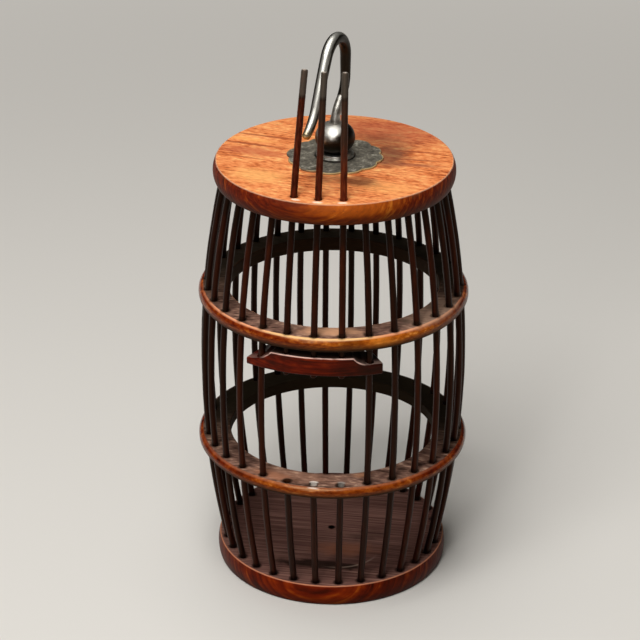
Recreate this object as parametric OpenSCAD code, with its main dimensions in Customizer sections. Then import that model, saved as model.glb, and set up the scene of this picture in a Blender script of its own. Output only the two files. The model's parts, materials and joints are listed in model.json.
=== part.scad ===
// Barrel-shaped cricket cage of turned wood: base, two hoops, lid, bowed rods,
// a door of three rods that slides up through the lid, and a hanging hook on a swivel.
// Millimetres, +Z up, origin at the middle of the underside, door on the -Y side.

/* [Barrel] */
// Number of rod places round the barrel
rod_count = 30; // [26:2:34]
// Radius of the circle of rods at the waist
waist_r = 53.6; // [50:0.1:60]
// Radius of the bow that each rod is bent to
bow_r = 385; // [340:5:600]
// Diameter of a rod
rod_d = 2.7; // [2:0.1:3.2]
// Clear height between the base and the lower hoop
lower_bay_h = 45.5; // [36:0.5:56]
// Clear height between the two hoops
door_bay_h = 60.6; // [50:0.1:70]
// Clear height between the upper hoop and the lid
upper_bay_h = 45.8; // [38:0.1:55]

/* [Boards and hoops] */
// Thickness of the base
base_t = 9; // [8:0.1:14]
// Wood outside the rods in the base
base_land = 3.8; // [2.6:0.1:6]
// Radius of the rounding across the edge of the base
base_edge_r = 14; // [9:0.5:40]
// Diameter of the lathe centre hole in the floor
centre_hole_d = 2.4; // [1.5:0.1:4]
// Depth of the lathe centre hole
centre_hole_depth = 5; // [2:0.5:7]
// Thickness of the lid
lid_t = 8.7; // [8:0.1:14]
// Wood outside the rods in the lid
lid_land = 4.1; // [2.6:0.1:6]
// Radius of the rounding across the edge of the lid
lid_edge_r = 8.5; // [7.5:0.1:40]
// Thickness of the lower hoop
lower_hoop_t = 5.1; // [4.5:0.1:7]
// Thickness of the upper hoop
upper_hoop_t = 6; // [4.5:0.1:7]
// Wood outside the waist circle in the lower hoop
lower_hoop_land = 2.7; // [1.8:0.1:5]
// Width of the lower hoop from its outside to its inside
lower_hoop_w = 13.4; // [9:0.1:16]
// Wood outside the waist circle in the upper hoop
upper_hoop_land = 1.9; // [1.8:0.1:5]
// Width of the upper hoop from its outside to its inside
upper_hoop_w = 12; // [9:0.1:16]
// Radius of the rounding across the edge of a hoop
hoop_edge_r = 3.8; // [3.6:0.1:12]
// Depth of the blind rod holes in the base and the lid
rod_hole_depth = 5.5; // [3:0.1:6.5]

/* [Door] */
// Clear height above the door bar where it stands raised
door_headroom = 2.2; // [1:0.1:30]
// Height of the door bar
bar_h = 7.8; // [7:0.1:9]
// Wood outside the rods in the door bar
bar_land = 2.4; // [2.3:0.1:2.6]
// Width of the door bar from its outside to its inside
bar_w = 12; // [5:0.1:12.5]
// Height of the door bar at its left end
bar_left_end_h = 3; // [2.6:0.1:6]
// Height of the door bar at its right end
bar_right_end_h = 4.7; // [3:0.1:6]
// Wood of the door bar beyond the rod that its left end rides on
bar_left_tail = 5.4; // [3.5:0.1:7]
// Wood of the door bar beyond the rod that its right end rides on
bar_right_tail = 4.6; // [3.5:0.1:7]
// Full-height wood of the door bar beyond the left door rod
bar_left_brow = 6; // [3:0.1:6.5]
// Full-height wood of the door bar beyond the right door rod
bar_right_brow = 4.7; // [3:0.1:6]
// Radius of the scoop that steps the door bar down at its left end
bar_left_scoop_r = 14.5; // [8:0.5:30]
// Radius of the scoop that steps the door bar down at its right end
bar_right_scoop_r = 8; // [6:0.5:30]
// Length of a door rod
door_rod_l = 121.6; // [118:0.1:135]
// Length by which the left door rod stands higher than the others
left_rod_extra_l = 0.3; // [0:0.1:4]
// Length of rod that shows below the door bar
door_rod_nib = 1.6; // [0.5:0.1:1.8]
// Turn of the side door rods' planes from the middle one
door_lean = 7.5; // [5:0.1:12]
// Depth of the sockets in the lower hoop that take the door rods
door_socket_depth = 2.2; // [2:0.1:3]

/* [Hook] */
// Distance of the swivel pin behind the barrel's axis
pin_back = 1.2; // [0:0.1:3]
// Turn of the hook's plane from the X axis
hook_turn = 74; // [0:0.1:180]
// Radius of the bend above the ball
neck_r = 8.8; // [4:0.1:10]
// Turn of the bend above the ball
neck_turn = 51; // [40:1:60]
// Straight run of the neck
neck_l = 2.8; // [1:0.1:6]
// Radius of the bend that turns the neck upright
limb_r = 10.8; // [8:0.1:16]
// Straight run of the upright limb
limb_l = 8.5; // [4:0.1:14]
// Radius of the crook
crook_r = 9.9; // [7:0.1:12]
// Turn of the crook
crook_turn = 152; // [140:1:165]
// Straight run of the tail
tail_l = 19.6; // [10:0.1:22]
// Radius of the flick at the end of the tail
flick_r = 21; // [12:0.5:30]
// Turn of the flick
flick_turn = 34; // [10:1:45]
// Straight run at the tip
tip_l = 1.6; // [0.5:0.1:4]
// Thickness of the hook where it leaves the ball
neck_d = 3.4; // [2.4:0.1:3.5]
// Thickness of the hook over the crook
crook_d = 4.8; // [3:0.1:5.2]
// Thickness of the hook at its tip
tip_d = 3.3; // [1.5:0.1:3.6]
// Radius of the flattened ball
ball_r = 8.05; // [7:0.05:10]
// Height of the flattened ball
ball_h = 12.3; // [11:0.1:12.3]
// Radius of the washer under the ball
washer_r = 7.8; // [7:0.1:11]
// Thickness of the washer under the ball
washer_t = 1.5; // [1:0.1:2]
// Thickness of the washer's flange
washer_flange_t = 0.7; // [0.4:0.1:0.8]
// Width of the washer's step
washer_step = 1.3; // [0.6:0.1:2]
// Radius of the plate over its lobes
plate_r = 19.6; // [16:0.1:24]
// Number of lobes round the plate
plate_lobes = 12; // [8:1:16]
// Radius of one lobe
plate_lobe_r = 6.6; // [5:0.1:10]
// Thickness of the plate
plate_t = 0.8; // [0.6:0.1:1.6]
// Diameter of the swivel pin
pin_d = 3.6; // [3:0.1:4.4]
// Depth that the pin is let into the ball
pin_seat = 5; // [3:0.1:7]
// Radius of the washer under the lid
pin_washer_r = 6; // [5:0.1:9]
// Thickness of the washer under the lid
pin_washer_t = 1.2; // [0.8:0.1:2]
// Radius of the pin's riveted head
rivet_r = 3.4; // [2.8:0.1:4.5]
// Height of the pin's riveted head
rivet_h = 1.8; // [1:0.1:2.4]

/* [Fits] */
// Gap round a glued or riveted piece
glue_gap = 0.05; // [0.02:0.01:0.1]
// Gap at the bottom of a blind hole
end_gap = 0.3; // [0.1:0.1:0.6]
// Gap round a door rod in the lid, the upper hoop and the bar
slide_gap = 0.3; // [0.2:0.05:0.4]
// Gap round a fixed rod in the ends of the door bar
guide_gap = 0.5; // [0.4:0.05:0.6]
// Gap round a door rod in its socket in the lower hoop
socket_gap = 0.4; // [0.35:0.05:0.5]
// Gap round the swivel pin in the lid and the plate
swivel_gap = 0.1; // [0.05:0.01:0.15]
// Gap above the plate and below the lid that lets the hook turn
swivel_lift = 0.1; // [0.05:0.01:0.2]

/* [Hidden] */
$fn = 96;
wood_red = "#6b2f1c";
wood_orange = "#b5622f";
rod_brown = "#3a1a14";
bar_red = "#5a1c12";
dark_metal = "#4a4844";
old_brass = "#5c5a4c";

// Through cuts run past the faces by this much
cut_over = 1;
hook_sides = 14;
hook_bend_step = 7;
hook_thin_power = 2.2;

pitch = 360 / rod_count;
first_fixed = 2;
last_fixed = rod_count - first_fixed;

lower_hoop_z = base_t + lower_bay_h;
lower_hoop_top = lower_hoop_z + lower_hoop_t;
upper_hoop_z = lower_hoop_top + door_bay_h;
upper_hoop_top = upper_hoop_z + upper_hoop_t;
lid_z = upper_hoop_top + upper_bay_h;
lid_top = lid_z + lid_t;
waist_z = (base_t + lid_z) / 2;

// How far the rod line lies inside the waist circle at a height
function bow_in(z) = bow_r - sqrt(bow_r * bow_r - (z - waist_z) * (z - waist_z));
// Angle along the bow at a height, and the height at an angle
function bow_angle(z) = asin((z - waist_z) / bow_r);
function bow_height(a) = waist_z + bow_r * sin(a);

base_r = waist_r - bow_in(base_t) + base_land;
lid_r = waist_r - bow_in(lid_z) + lid_land;
lower_hoop_r = waist_r + lower_hoop_land;
upper_hoop_r = waist_r + upper_hoop_land;

rod_low_z = base_t - rod_hole_depth + end_gap;
rod_high_z = lid_z + rod_hole_depth - end_gap;
short_rod_high_z = lower_hoop_top - door_socket_depth;

bar_z = upper_hoop_z - door_headroom - bar_h;
door_lift = bow_angle(bar_z);
nib_angle = door_rod_nib / bow_r * 180 / PI;
door_rod_low_z = bow_height(door_lift - nib_angle);
function door_rod_high_z(side) =
    let (l = side < 0 ? door_rod_l + left_rod_extra_l : door_rod_l)
    bow_height(door_lift - nib_angle + l / bow_r * 180 / PI);

guide_angle = first_fixed * pitch;
bar_left_angle = guide_angle + bar_left_tail / waist_r * 180 / PI;
bar_right_angle = guide_angle + bar_right_tail / waist_r * 180 / PI;
// The fixed rods draw together by this much, on average, as the bar leaves the waist
guide_draw = (bow_in(bar_z) + bow_in(lower_hoop_top)) / 2 * sin(guide_angle) / 2;

plate_top = lid_top + plate_t;
washer_z = plate_top + swivel_lift;
ball_z = washer_z + washer_t;
ball_top = ball_z + ball_h;
pin_washer_z = lid_z - swivel_lift - pin_washer_t;

function arc_l(r, turn) = r * turn * PI / 180;
// The hook's line as runs of [length, turn]; a turn is positive away from the tail's side
hook_runs = [
    [arc_l(neck_r, neck_turn), neck_turn],
    [neck_l, 0],
    [arc_l(limb_r, neck_turn), -neck_turn],
    [limb_l, 0],
    [arc_l(crook_r, crook_turn), -crook_turn],
    [tail_l, 0],
    [arc_l(flick_r, flick_turn), flick_turn],
    [tip_l, 0]
];
crook_run = 4;

function lengths_to(n) = n <= 0 ? 0 : hook_runs[n - 1][0] + lengths_to(n - 1);
hook_l = lengths_to(len(hook_runs));
hook_top_l = lengths_to(crook_run) + hook_runs[crook_run][0] / 2;

// One step along a run: a place is [across, height, heading, length so far]
function moved(p, run, part) =
    let (s = run[0] * part, h = p[2] + run[1] * part)
    run[1] == 0
        ? [p[0] + s * sin(h), p[1] + s * cos(h), h, p[3] + s]
        : let (r = run[0] / (run[1] * PI / 180))
          [p[0] + r * (cos(p[2]) - cos(h)), p[1] + r * (sin(h) - sin(p[2])), h, p[3] + s];
function run_start(n) = n == 0 ? [0, ball_top, 0, 0] : moved(run_start(n - 1), hook_runs[n - 1], 1);
function run_steps(run) = max(2, ceil(abs(run[1]) / hook_bend_step));
hook_places = concat(
    [for (n = [0 : len(hook_runs) - 1])
        for (k = [0 : run_steps(hook_runs[n]) - 1])
            moved(run_start(n), hook_runs[n], k / run_steps(hook_runs[n]))],
    [run_start(len(hook_runs))]
);
function mix(a, b, part) = a + (b - a) * part;
function hook_d(s) = s < hook_top_l
    ? mix(neck_d, crook_d, s / hook_top_l)
    : mix(crook_d, tip_d, pow((s - hook_top_l) / (hook_l - hook_top_l), hook_thin_power));

function rod_name(k) = str("rod_", k);
side_names = ["left", "middle", "right"];
function short_rod_name(side) = str("short_rod_", side_names[side + 1]);
function door_rod_name(side) = str("door_rod_", side_names[side + 1]);

// A place on the waist circle, with -Y pointing outwards
module at_rod(angle) {
    rotate([0, 0, angle])
        translate([0, -waist_r, 0])
            children();
}

// The place of a door rod: the side ones lean a little less than the fixed rods do
module at_door_rod(side) {
    at_rod(side * pitch)
        rotate([0, 0, side * (door_lean - pitch)])
            children();
}

// A round rod bent to the bow, from one height to another
module bowed_rod(z0, z1) {
    translate([0, bow_r, waist_z])
        rotate([90, 0, -90])
            rotate([0, 0, bow_angle(z0)])
                rotate_extrude(angle = bow_angle(z1) - bow_angle(z0))
                    translate([bow_r, 0])
                        circle(d = rod_d);
}

// A straight drilled hole that follows the rod line between two heights
module drilled(z0, z1, gap) {
    rise = z1 - z0;
    run = bow_in(z1) - bow_in(z0);
    translate([0, bow_in(z0), z0])
        rotate([-atan2(run, rise), 0, 0])
            cylinder(d = rod_d + 2 * gap, h = norm([rise, run]));
}

// A turned board with a rounded edge
module turned_board(r, t, edge_r) {
    rotate_extrude()
        intersection() {
            square([r, t]);
            union() {
                square([r - edge_r, t]);
                translate([r - edge_r, t / 2])
                    circle(r = edge_r);
            }
        }
}

module base() {
    color(wood_red)
        difference() {
            turned_board(base_r, base_t, base_edge_r);
            for (k = [0 : rod_count - 1])
                at_rod(k * pitch)
                    drilled(base_t - rod_hole_depth, base_t + cut_over, glue_gap);
            translate([0, 0, base_t - centre_hole_depth])
                cylinder(d = centre_hole_d, h = centre_hole_depth + cut_over);
        }
}

module hoop(r, w, z, t) {
    translate([0, 0, z])
        difference() {
            turned_board(r, t, hoop_edge_r);
            translate([0, 0, -cut_over])
                cylinder(r = r - w, h = t + 2 * cut_over);
        }
}

module lower_hoop() {
    color(wood_red)
        difference() {
            hoop(lower_hoop_r, lower_hoop_w, lower_hoop_z, lower_hoop_t);
            for (k = [0 : rod_count - 1])
                at_rod(k * pitch)
                    drilled(lower_hoop_z - cut_over, lower_hoop_top + cut_over, glue_gap);
            for (side = [-1 : 1])
                at_door_rod(side)
                    drilled(short_rod_high_z, lower_hoop_top + cut_over, socket_gap);
        }
}

module upper_hoop() {
    color(wood_red)
        difference() {
            hoop(upper_hoop_r, upper_hoop_w, upper_hoop_z, upper_hoop_t);
            for (k = [first_fixed : last_fixed])
                at_rod(k * pitch)
                    drilled(upper_hoop_z - cut_over, upper_hoop_top + cut_over, glue_gap);
            for (side = [-1 : 1])
                at_door_rod(side)
                    drilled(upper_hoop_z - cut_over, upper_hoop_top + cut_over, slide_gap);
        }
}

module lid() {
    color(wood_orange)
        difference() {
            translate([0, 0, lid_z])
                turned_board(lid_r, lid_t, lid_edge_r);
            for (k = [first_fixed : last_fixed])
                at_rod(k * pitch)
                    drilled(lid_z - cut_over, lid_z + rod_hole_depth, glue_gap);
            for (side = [-1 : 1])
                at_door_rod(side)
                    drilled(lid_z - cut_over, lid_top + cut_over, slide_gap);
            translate([0, pin_back, lid_z - cut_over])
                cylinder(d = pin_d + 2 * swivel_gap, h = lid_t + 2 * cut_over);
        }
}

module fixed_rod(k) {
    color(rod_brown)
        at_rod(k * pitch)
            bowed_rod(rod_low_z, rod_high_z);
}

module short_rod(side) {
    color(rod_brown)
        at_rod(side * pitch)
            bowed_rod(rod_low_z, short_rod_high_z);
}

module door_rod(side) {
    color(rod_brown)
        at_door_rod(side)
            bowed_rod(door_rod_low_z, door_rod_high_z(side));
}

// The front view of the door bar: level along the middle, scooped down towards the ends
module bar_front() {
    reach = waist_r + bar_w;
    difference() {
        translate([-reach, 0])
            square([2 * reach, bar_h]);
        bar_scoop(-1, bar_left_brow, bar_left_end_h, bar_left_scoop_r);
        bar_scoop(1, bar_right_brow, bar_right_end_h, bar_right_scoop_r);
    }
}

// The wood scooped away above one end of the bar: a hollow curve, then level out to the tail
module bar_scoop(side, brow, end_h, scoop_r) {
    drop = bar_h - end_h;
    run = sqrt(scoop_r * scoop_r - (scoop_r - drop) * (scoop_r - drop));
    level_x = waist_r * sin(pitch) + brow + run;
    translate([side * level_x, end_h + scoop_r])
        circle(r = scoop_r);
    translate([side > 0 ? level_x : -level_x - waist_r, end_h])
        square([waist_r, bar_h]);
}

// The door bar with its underside at the waist, where the rods stand upright
module bar_at_waist() {
    bar_r = waist_r + bar_land;
    difference() {
        intersection() {
            rotate([0, 0, -90 - bar_left_angle])
                rotate_extrude(angle = bar_left_angle + bar_right_angle)
                    translate([bar_r - bar_w, waist_z])
                        square([bar_w, bar_h]);
            translate([0, 0, waist_z])
                rotate([90, 0, 0])
                    linear_extrude(bar_r + cut_over)
                        bar_front();
        }
        at_door_rod(0)
            drilled(waist_z - cut_over, waist_z + bar_h + cut_over, glue_gap);
        for (side = [-1, 1]) {
            at_door_rod(side)
                drilled(waist_z - cut_over, waist_z + bar_h + cut_over, slide_gap);
            translate([-side * guide_draw, 0, 0])
                at_rod(side * guide_angle)
                    drilled(waist_z - cut_over, waist_z + bar_h + cut_over, guide_gap);
        }
    }
}

module door_bar() {
    color(bar_red)
        translate([0, bow_r - waist_r, waist_z])
            rotate([-door_lift, 0, 0])
                translate([0, waist_r - bow_r, -waist_z])
                    bar_at_waist();
}

// A round tube swept along the hook's line, thick over the crook and thin at the tip
module hook() {
    ring = hook_sides;
    rings = len(hook_places);
    points = [for (p = hook_places)
        for (k = [0 : ring - 1])
            let (r = hook_d(p[3]) / 2, a = 360 * k / ring)
            [p[0] + r * cos(a) * cos(p[2]), r * sin(a), p[1] - r * cos(a) * sin(p[2])]];
    sides = [for (i = [0 : rings - 2])
        for (k = [0 : ring - 1])
            let (m = (k + 1) % ring, a = i * ring, b = a + ring)
            each [[a + k, b + k, b + m], [a + k, b + m, a + m]]];
    last = (rings - 1) * ring;
    foot = [for (k = [1 : ring - 2]) [0, k, k + 1]];
    tip = [for (k = [1 : ring - 2]) [last, last + k + 1, last + k]];
    color(dark_metal)
        translate([0, pin_back, 0])
            rotate([0, 0, hook_turn])
                polyhedron(points = points, faces = concat(sides, foot, tip));
}

module hook_ball() {
    round_r = ball_h / 2;
    color(dark_metal)
        translate([0, pin_back, ball_z])
            difference() {
                rotate_extrude() {
                    square([ball_r - round_r, ball_h]);
                    intersection() {
                        translate([ball_r - round_r, round_r])
                            circle(r = round_r);
                        square([ball_r, ball_h]);
                    }
                }
                translate([0, 0, -cut_over])
                    cylinder(d = pin_d + 2 * glue_gap, h = pin_seat + cut_over);
            }
}

module swivel_washer() {
    color(dark_metal)
        translate([0, pin_back, washer_z])
            difference() {
                union() {
                    cylinder(r = washer_r, h = washer_flange_t);
                    cylinder(r = washer_r - washer_step, h = washer_t);
                }
                translate([0, 0, -cut_over])
                    cylinder(d = pin_d + 2 * glue_gap, h = washer_t + 2 * cut_over);
            }
}

module hook_plate() {
    color(old_brass)
        translate([0, pin_back, lid_top])
            difference() {
                linear_extrude(plate_t)
                    for (k = [0 : plate_lobes - 1])
                        rotate([0, 0, 360 * k / plate_lobes])
                            translate([0, plate_lobe_r - plate_r])
                                circle(r = plate_lobe_r);
                translate([0, 0, -cut_over])
                    cylinder(d = pin_d + 2 * swivel_gap, h = plate_t + 2 * cut_over);
            }
}

module swivel_pin() {
    color(dark_metal) {
        translate([0, pin_back, pin_washer_z])
            cylinder(d = pin_d, h = ball_z + pin_seat - end_gap - pin_washer_z);
        translate([0, pin_back, pin_washer_z - rivet_h])
            rotate_extrude()
                intersection() {
                    square([rivet_r, rivet_h]);
                    translate([0, rivet_r])
                        circle(r = rivet_r);
                }
    }
}

module pin_washer() {
    color(dark_metal)
        translate([0, pin_back, pin_washer_z])
            difference() {
                cylinder(r = pin_washer_r, h = pin_washer_t);
                translate([0, 0, -cut_over])
                    cylinder(d = pin_d + 2 * glue_gap, h = pin_washer_t + 2 * cut_over);
            }
}

base();
lower_hoop();
upper_hoop();
lid();
for (k = [first_fixed : last_fixed])
    fixed_rod(k);
for (side = [-1 : 1])
    short_rod(side);
for (side = [-1 : 1])
    door_rod(side);
door_bar();
hook();
hook_ball();
swivel_washer();
hook_plate();
swivel_pin();
pin_washer();
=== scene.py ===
# %% [markdown]
# # A barrel-shaped cricket cage
# The real cage is turned and drilled rosewood: a base, two hoops and a lid, strung on thin bowed rods.
# Three of the rods are a door that slides up through the lid, tied by a carved bar, and a swan-neck hook
# turns on the lid. The solids of the cage are loaded first. Everything below is made in metres in their
# frame, so no piece needs fitting: a size is read from the solids where they show it, and is a named
# value in millimetres where they don't.

# %% Load the solids
import json
import math

import bmesh
import bpy
from mathutils import Matrix, Vector


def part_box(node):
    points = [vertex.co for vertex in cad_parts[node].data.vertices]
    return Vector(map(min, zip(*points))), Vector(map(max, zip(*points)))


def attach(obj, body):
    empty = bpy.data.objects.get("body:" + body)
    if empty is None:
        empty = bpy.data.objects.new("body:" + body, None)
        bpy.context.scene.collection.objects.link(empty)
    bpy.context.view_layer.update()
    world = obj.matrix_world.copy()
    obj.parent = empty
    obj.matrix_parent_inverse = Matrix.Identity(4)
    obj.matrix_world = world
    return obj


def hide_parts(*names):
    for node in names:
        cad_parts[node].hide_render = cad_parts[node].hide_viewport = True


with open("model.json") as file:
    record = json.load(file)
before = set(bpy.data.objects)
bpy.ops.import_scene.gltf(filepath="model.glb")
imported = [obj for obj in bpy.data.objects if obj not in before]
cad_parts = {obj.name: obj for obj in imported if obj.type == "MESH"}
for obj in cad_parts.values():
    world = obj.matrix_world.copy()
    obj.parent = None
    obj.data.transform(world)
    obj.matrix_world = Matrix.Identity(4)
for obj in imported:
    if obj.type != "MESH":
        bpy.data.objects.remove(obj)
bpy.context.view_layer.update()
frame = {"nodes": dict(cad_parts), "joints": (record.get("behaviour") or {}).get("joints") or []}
MM = 0.001
joints = {joint["name"]: joint for joint in frame["joints"]}


# %% [markdown]
# ## Sizes from the solids
# All rods are bent to one bow. The rear rod stands in the plane of Y and Z, so its box gives the rod's
# thickness and the waist of the barrel, and the door's joint stands at the middle of the bow. With these,
# one formula says how far from the axis a rod is at any height.

# %% Read the barrel's sizes
def box_mm(node):
    """Lowest and highest corner of a solid, in millimetres."""
    low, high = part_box(node)
    return low / MM, high / MM


PLACES = 30
PITCH = math.tau / PLACES
REAR_ROD = "rod_15"
rear_low, rear_high = box_mm(REAR_ROD)
ROD_D = rear_high.x - rear_low.x
WAIST_R = rear_high.y - ROD_D / 2
door_centre = Vector(joints["door_slide"]["pos_m"]) / MM
WAIST_Z = door_centre.z
BOW_R = WAIST_R + door_centre.y


def rod_line(z):
    """Distance of the rods' middle line from the axis at a height, in millimetres."""
    return WAIST_R - BOW_R + math.sqrt(BOW_R ** 2 - (z - WAIST_Z) ** 2)


lid_low, lid_high = box_mm("lid")
upper_low, upper_high = box_mm("upper_hoop")
lower_low, lower_high = box_mm("lower_hoop")
base_low, base_high = box_mm("base")
print("rod %.2f, waist %.2f at height %.2f, bow %.1f mm" % (ROD_D, WAIST_R, WAIST_Z, BOW_R))

# %% [markdown]
# ## Camera
# The viewpoint was found by fitting the ellipses of the lid, the hoops and the base. It is written the
# way a photographer would say it: how far down and round the camera looks, how far off it stands, and
# where the middle of the underside lies beside its line of sight. The camera's matrix is built from its
# own three directions.

# %% Place the camera
VIEW_DOWN = math.radians(25.917)
VIEW_ROUND = math.radians(8.633)
VIEW_ROLL = math.radians(0.313)
VIEW_DISTANCE = 1082.44
ASIDE, ABOVE = 4.96, -97.43
PICTURE_W, FOCAL_W, SENSOR_W = 640, 2500, 36

level = Vector((1, 0, 0))
ahead = Vector((0, math.cos(VIEW_DOWN), -math.sin(VIEW_DOWN)))
upward = Vector((0, math.sin(VIEW_DOWN), math.cos(VIEW_DOWN)))
around = Matrix.Rotation(VIEW_ROUND, 3, "Z")
right = around @ (math.cos(VIEW_ROLL) * level + math.sin(VIEW_ROLL) * upward)
top = around @ (math.cos(VIEW_ROLL) * upward - math.sin(VIEW_ROLL) * level)
back = around @ -ahead
stand = (back * VIEW_DISTANCE - right * ASIDE - top * ABOVE) * MM

lens = bpy.data.cameras.new("camera")
lens.sensor_width = SENSOR_W
lens.lens = FOCAL_W / PICTURE_W * SENSOR_W
camera = bpy.data.objects.new("camera", lens)
camera.matrix_world = Matrix.Translation(stand) @ Matrix((right, top, back)).transposed().to_4x4()
bpy.context.scene.collection.objects.link(camera)
bpy.context.scene.camera = camera
bpy.context.scene.view_settings.view_transform = "Standard"
print("camera at", [round(v, 3) for v in stand], "lens %.1f mm" % lens.lens)

# %% [markdown]
# ## Tools for colours and nodes
# Colours are chosen as sRGB hex values, as a paint program shows them, but shader sockets work in linear
# light. One function adds a node to any tree: it sets the node's own settings, then sets or links its
# inputs, and hands back an output to link onwards. A mode can be written with the kind, such as Math:ADD,
# and a list of inputs fills the sockets that are in use, from the top.

# %% Colours and nodes
MODES = {"Mix": "data_type", "MapRange": "interpolation_type", "Mapping": "vector_type",
         "TexNoise": "noise_dimensions"}


def linear(hex_colour):
    """Linear RGBA of an sRGB hex colour."""
    shares = [int(hex_colour[k:k + 2], 16) / 255 for k in (1, 3, 5)]
    return [*(s / 12.92 if s <= 0.04045 else ((s + 0.055) / 1.055) ** 2.4 for s in shares), 1]


def add(tree, kind, inputs=(), stops=(), out=None, **settings):
    """Add a node, set and link it, and return one of its outputs: the named one, or the first in use."""
    kind, _, mode = kind.partition(":")
    node = tree.nodes.new(kind if "Node" in kind else "ShaderNode" + kind)
    if mode:
        setattr(node, MODES.get(kind, "operation"), mode)
    for name, value in settings.items():
        setattr(node, name, value)
    for place, colour in stops:
        node.color_ramp.elements.new(place).color = linear(colour)
    if stops:
        node.color_ramp.elements.remove(node.color_ramp.elements[0])
        node.color_ramp.elements.remove(node.color_ramp.elements[-1])
    if not isinstance(inputs, dict):
        inputs = dict(zip([k for k, socket in enumerate(node.inputs) if socket.enabled], inputs))
    for key, value in inputs.items():
        if isinstance(value, bpy.types.NodeSocket):
            tree.links.new(value, node.inputs[key])
        else:
            node.inputs[key].default_value = value
    if out is not None:
        return node.outputs[out]
    return next((socket for socket in node.outputs if socket.enabled), None)


def new_material(name):
    """A new material with an empty node tree."""
    made = bpy.data.materials.new(name)
    made.use_nodes = True
    made.node_tree.nodes.clear()
    return made


def close(material, kind, inputs):
    """End a material's tree with a surface shader."""
    tree = material.node_tree
    add(tree, "OutputMaterial", {"Surface": add(tree, kind, inputs)})
    print(material.name, "has", len(tree.nodes), "nodes")


print("white is", linear("#ffffff"))

# %% [markdown]
# ## Floor
# A plain matt floor, large enough to fill the picture. It looks pale to the camera and in reflections,
# but sends less light back up into the cage, whose inside is dark in the photograph. The lamps hang
# close, so they leave the far floor dim: there it glows evenly instead, like a lit backdrop, and close by
# it keeps the cage's shadow.

# %% Lay the floor
FLOOR_HALF, FLOOR_DROP = 4.0, 0.0001
FLOOR_SEEN, FLOOR_BOUNCE, FLOOR_GLOW = "#dedad3", "#5a5048", "#d3cfc8"
GLOW_FROM, GLOW_FULL = 0.3, 1.3

floor_mesh = bpy.data.meshes.new("floor")
corners = [(x * FLOOR_HALF, y * FLOOR_HALF, -FLOOR_DROP) for x, y in ((-1, -1), (1, -1), (1, 1), (-1, 1))]
floor_mesh.from_pydata(corners, [], [(0, 1, 2, 3)])
floor = bpy.data.objects.new("floor", floor_mesh)
bpy.context.scene.collection.objects.link(floor)

floor_paint = new_material("matt floor paint")
tree = floor_paint.node_tree
path = add(tree, "LightPath").node.outputs
seen = add(tree, "Math:MAXIMUM", [path["Is Camera Ray"], path["Is Glossy Ray"]])
seen = add(tree, "Math:MAXIMUM", [seen, path["Is Transmission Ray"]])
paint = add(tree, "Mix:RGBA", [seen, linear(FLOOR_BOUNCE), linear(FLOOR_SEEN)])
matt = add(tree, "BsdfDiffuse", {"Color": paint})
glow = add(tree, "Emission", {"Color": linear(FLOOR_GLOW), "Strength": 1.0})
away = add(tree, "VectorMath:LENGTH", [add(tree, "TexCoord", out="Object")])
away = add(tree, "MapRange:SMOOTHSTEP", [away, GLOW_FROM, GLOW_FULL])
away = add(tree, "Math:MULTIPLY", [away, seen])
close(floor_paint, "MixShader", [away, matt, glow])
floor_mesh.materials.append(floor_paint)
print("floor %.0f m wide" % (2 * FLOOR_HALF))

# %% [markdown]
# ## Light
# The far halves of the hoops lie in the lid's shadow and the near halves don't, so the main light stands
# in front, steeply above and a little to the left. The bright top of the hook's ball shows a second soft
# light overhead. A narrow panel in front is weak, but metal and waxed edges mirror it as a bright streak.
# The studio round them is dim, so that the inside of the cage stays dark. A lamp of pi squared times its
# distance squared, in watts, lights white to 1, so these add up to about that on a level face.

# %% Hang the lamps and light the studio
CAGE_MIDDLE = Vector((0, 0, 0.1))
LAMP_DISTANCE = 1.25
LAMPS = {
    "front panel": {"towards": (-0.20, -0.44, 0.88), "width": 0.75, "height": 0.75, "watts": 12.5},
    "top panel": {"towards": (-0.08, 0.12, 0.98), "width": 0.6, "height": 0.6, "watts": 4.8},
    "strip panel": {"towards": (-0.28, -0.80, 0.55), "width": 0.16, "height": 0.7, "watts": 2.2},
}
STUDIO_DIM, STUDIO_TOP = "#24221f", "#5a5854"

for name, plan in LAMPS.items():
    data = bpy.data.lights.new(name, "AREA")
    data.shape = "RECTANGLE"
    data.size = plan["width"]
    data.size_y = plan["height"]
    data.energy = plan["watts"]
    lamp = bpy.data.objects.new(name, data)
    lamp.location = CAGE_MIDDLE + around @ Vector(plan["towards"]).normalized() * LAMP_DISTANCE
    lamp.rotation_euler = (lamp.location - CAGE_MIDDLE).to_track_quat("Z", "Y").to_euler()
    bpy.context.scene.collection.objects.link(lamp)

studio = bpy.data.worlds.new("studio")
studio.use_nodes = True
bpy.context.scene.world = studio
tree = studio.node_tree
tree.nodes.clear()
height = add(tree, "SeparateXYZ", [add(tree, "TexCoord", out="Generated")], out="Z")
walls = add(tree, "ValToRGB", [height], stops=[(0.15, STUDIO_DIM), (0.9, STUDIO_TOP)])
glow = add(tree, "Background", {"Color": walls})
add(tree, "OutputWorld", {"Surface": glow})
print("lamps:", ", ".join(LAMPS))

# %% [markdown]
# ## Mesh tools
# Every piece here can be seen as a row of rings skinned with faces: a turned board is its half section
# carried round the axis, the hook is a circle carried along a line, the bar is a rounded section carried
# along an arc. A Screw modifier could turn a board, but not a plate whose section changes with the angle.
# So one function skins rings, and the pieces only differ in how they make them. Corners are eased with a
# small bevel, because a hand-finished edge always catches a line of light.

# %% Skin rings into a mesh
SHARP = math.radians(38)
EASE_STEPS, SAME_POINT = 3, 1e-7


def new_object(name, mesh):
    """An object for a mesh, linked to the scene at the origin."""
    made = bpy.data.objects.new(name, mesh)
    bpy.context.scene.collection.objects.link(made)
    return made


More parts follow.
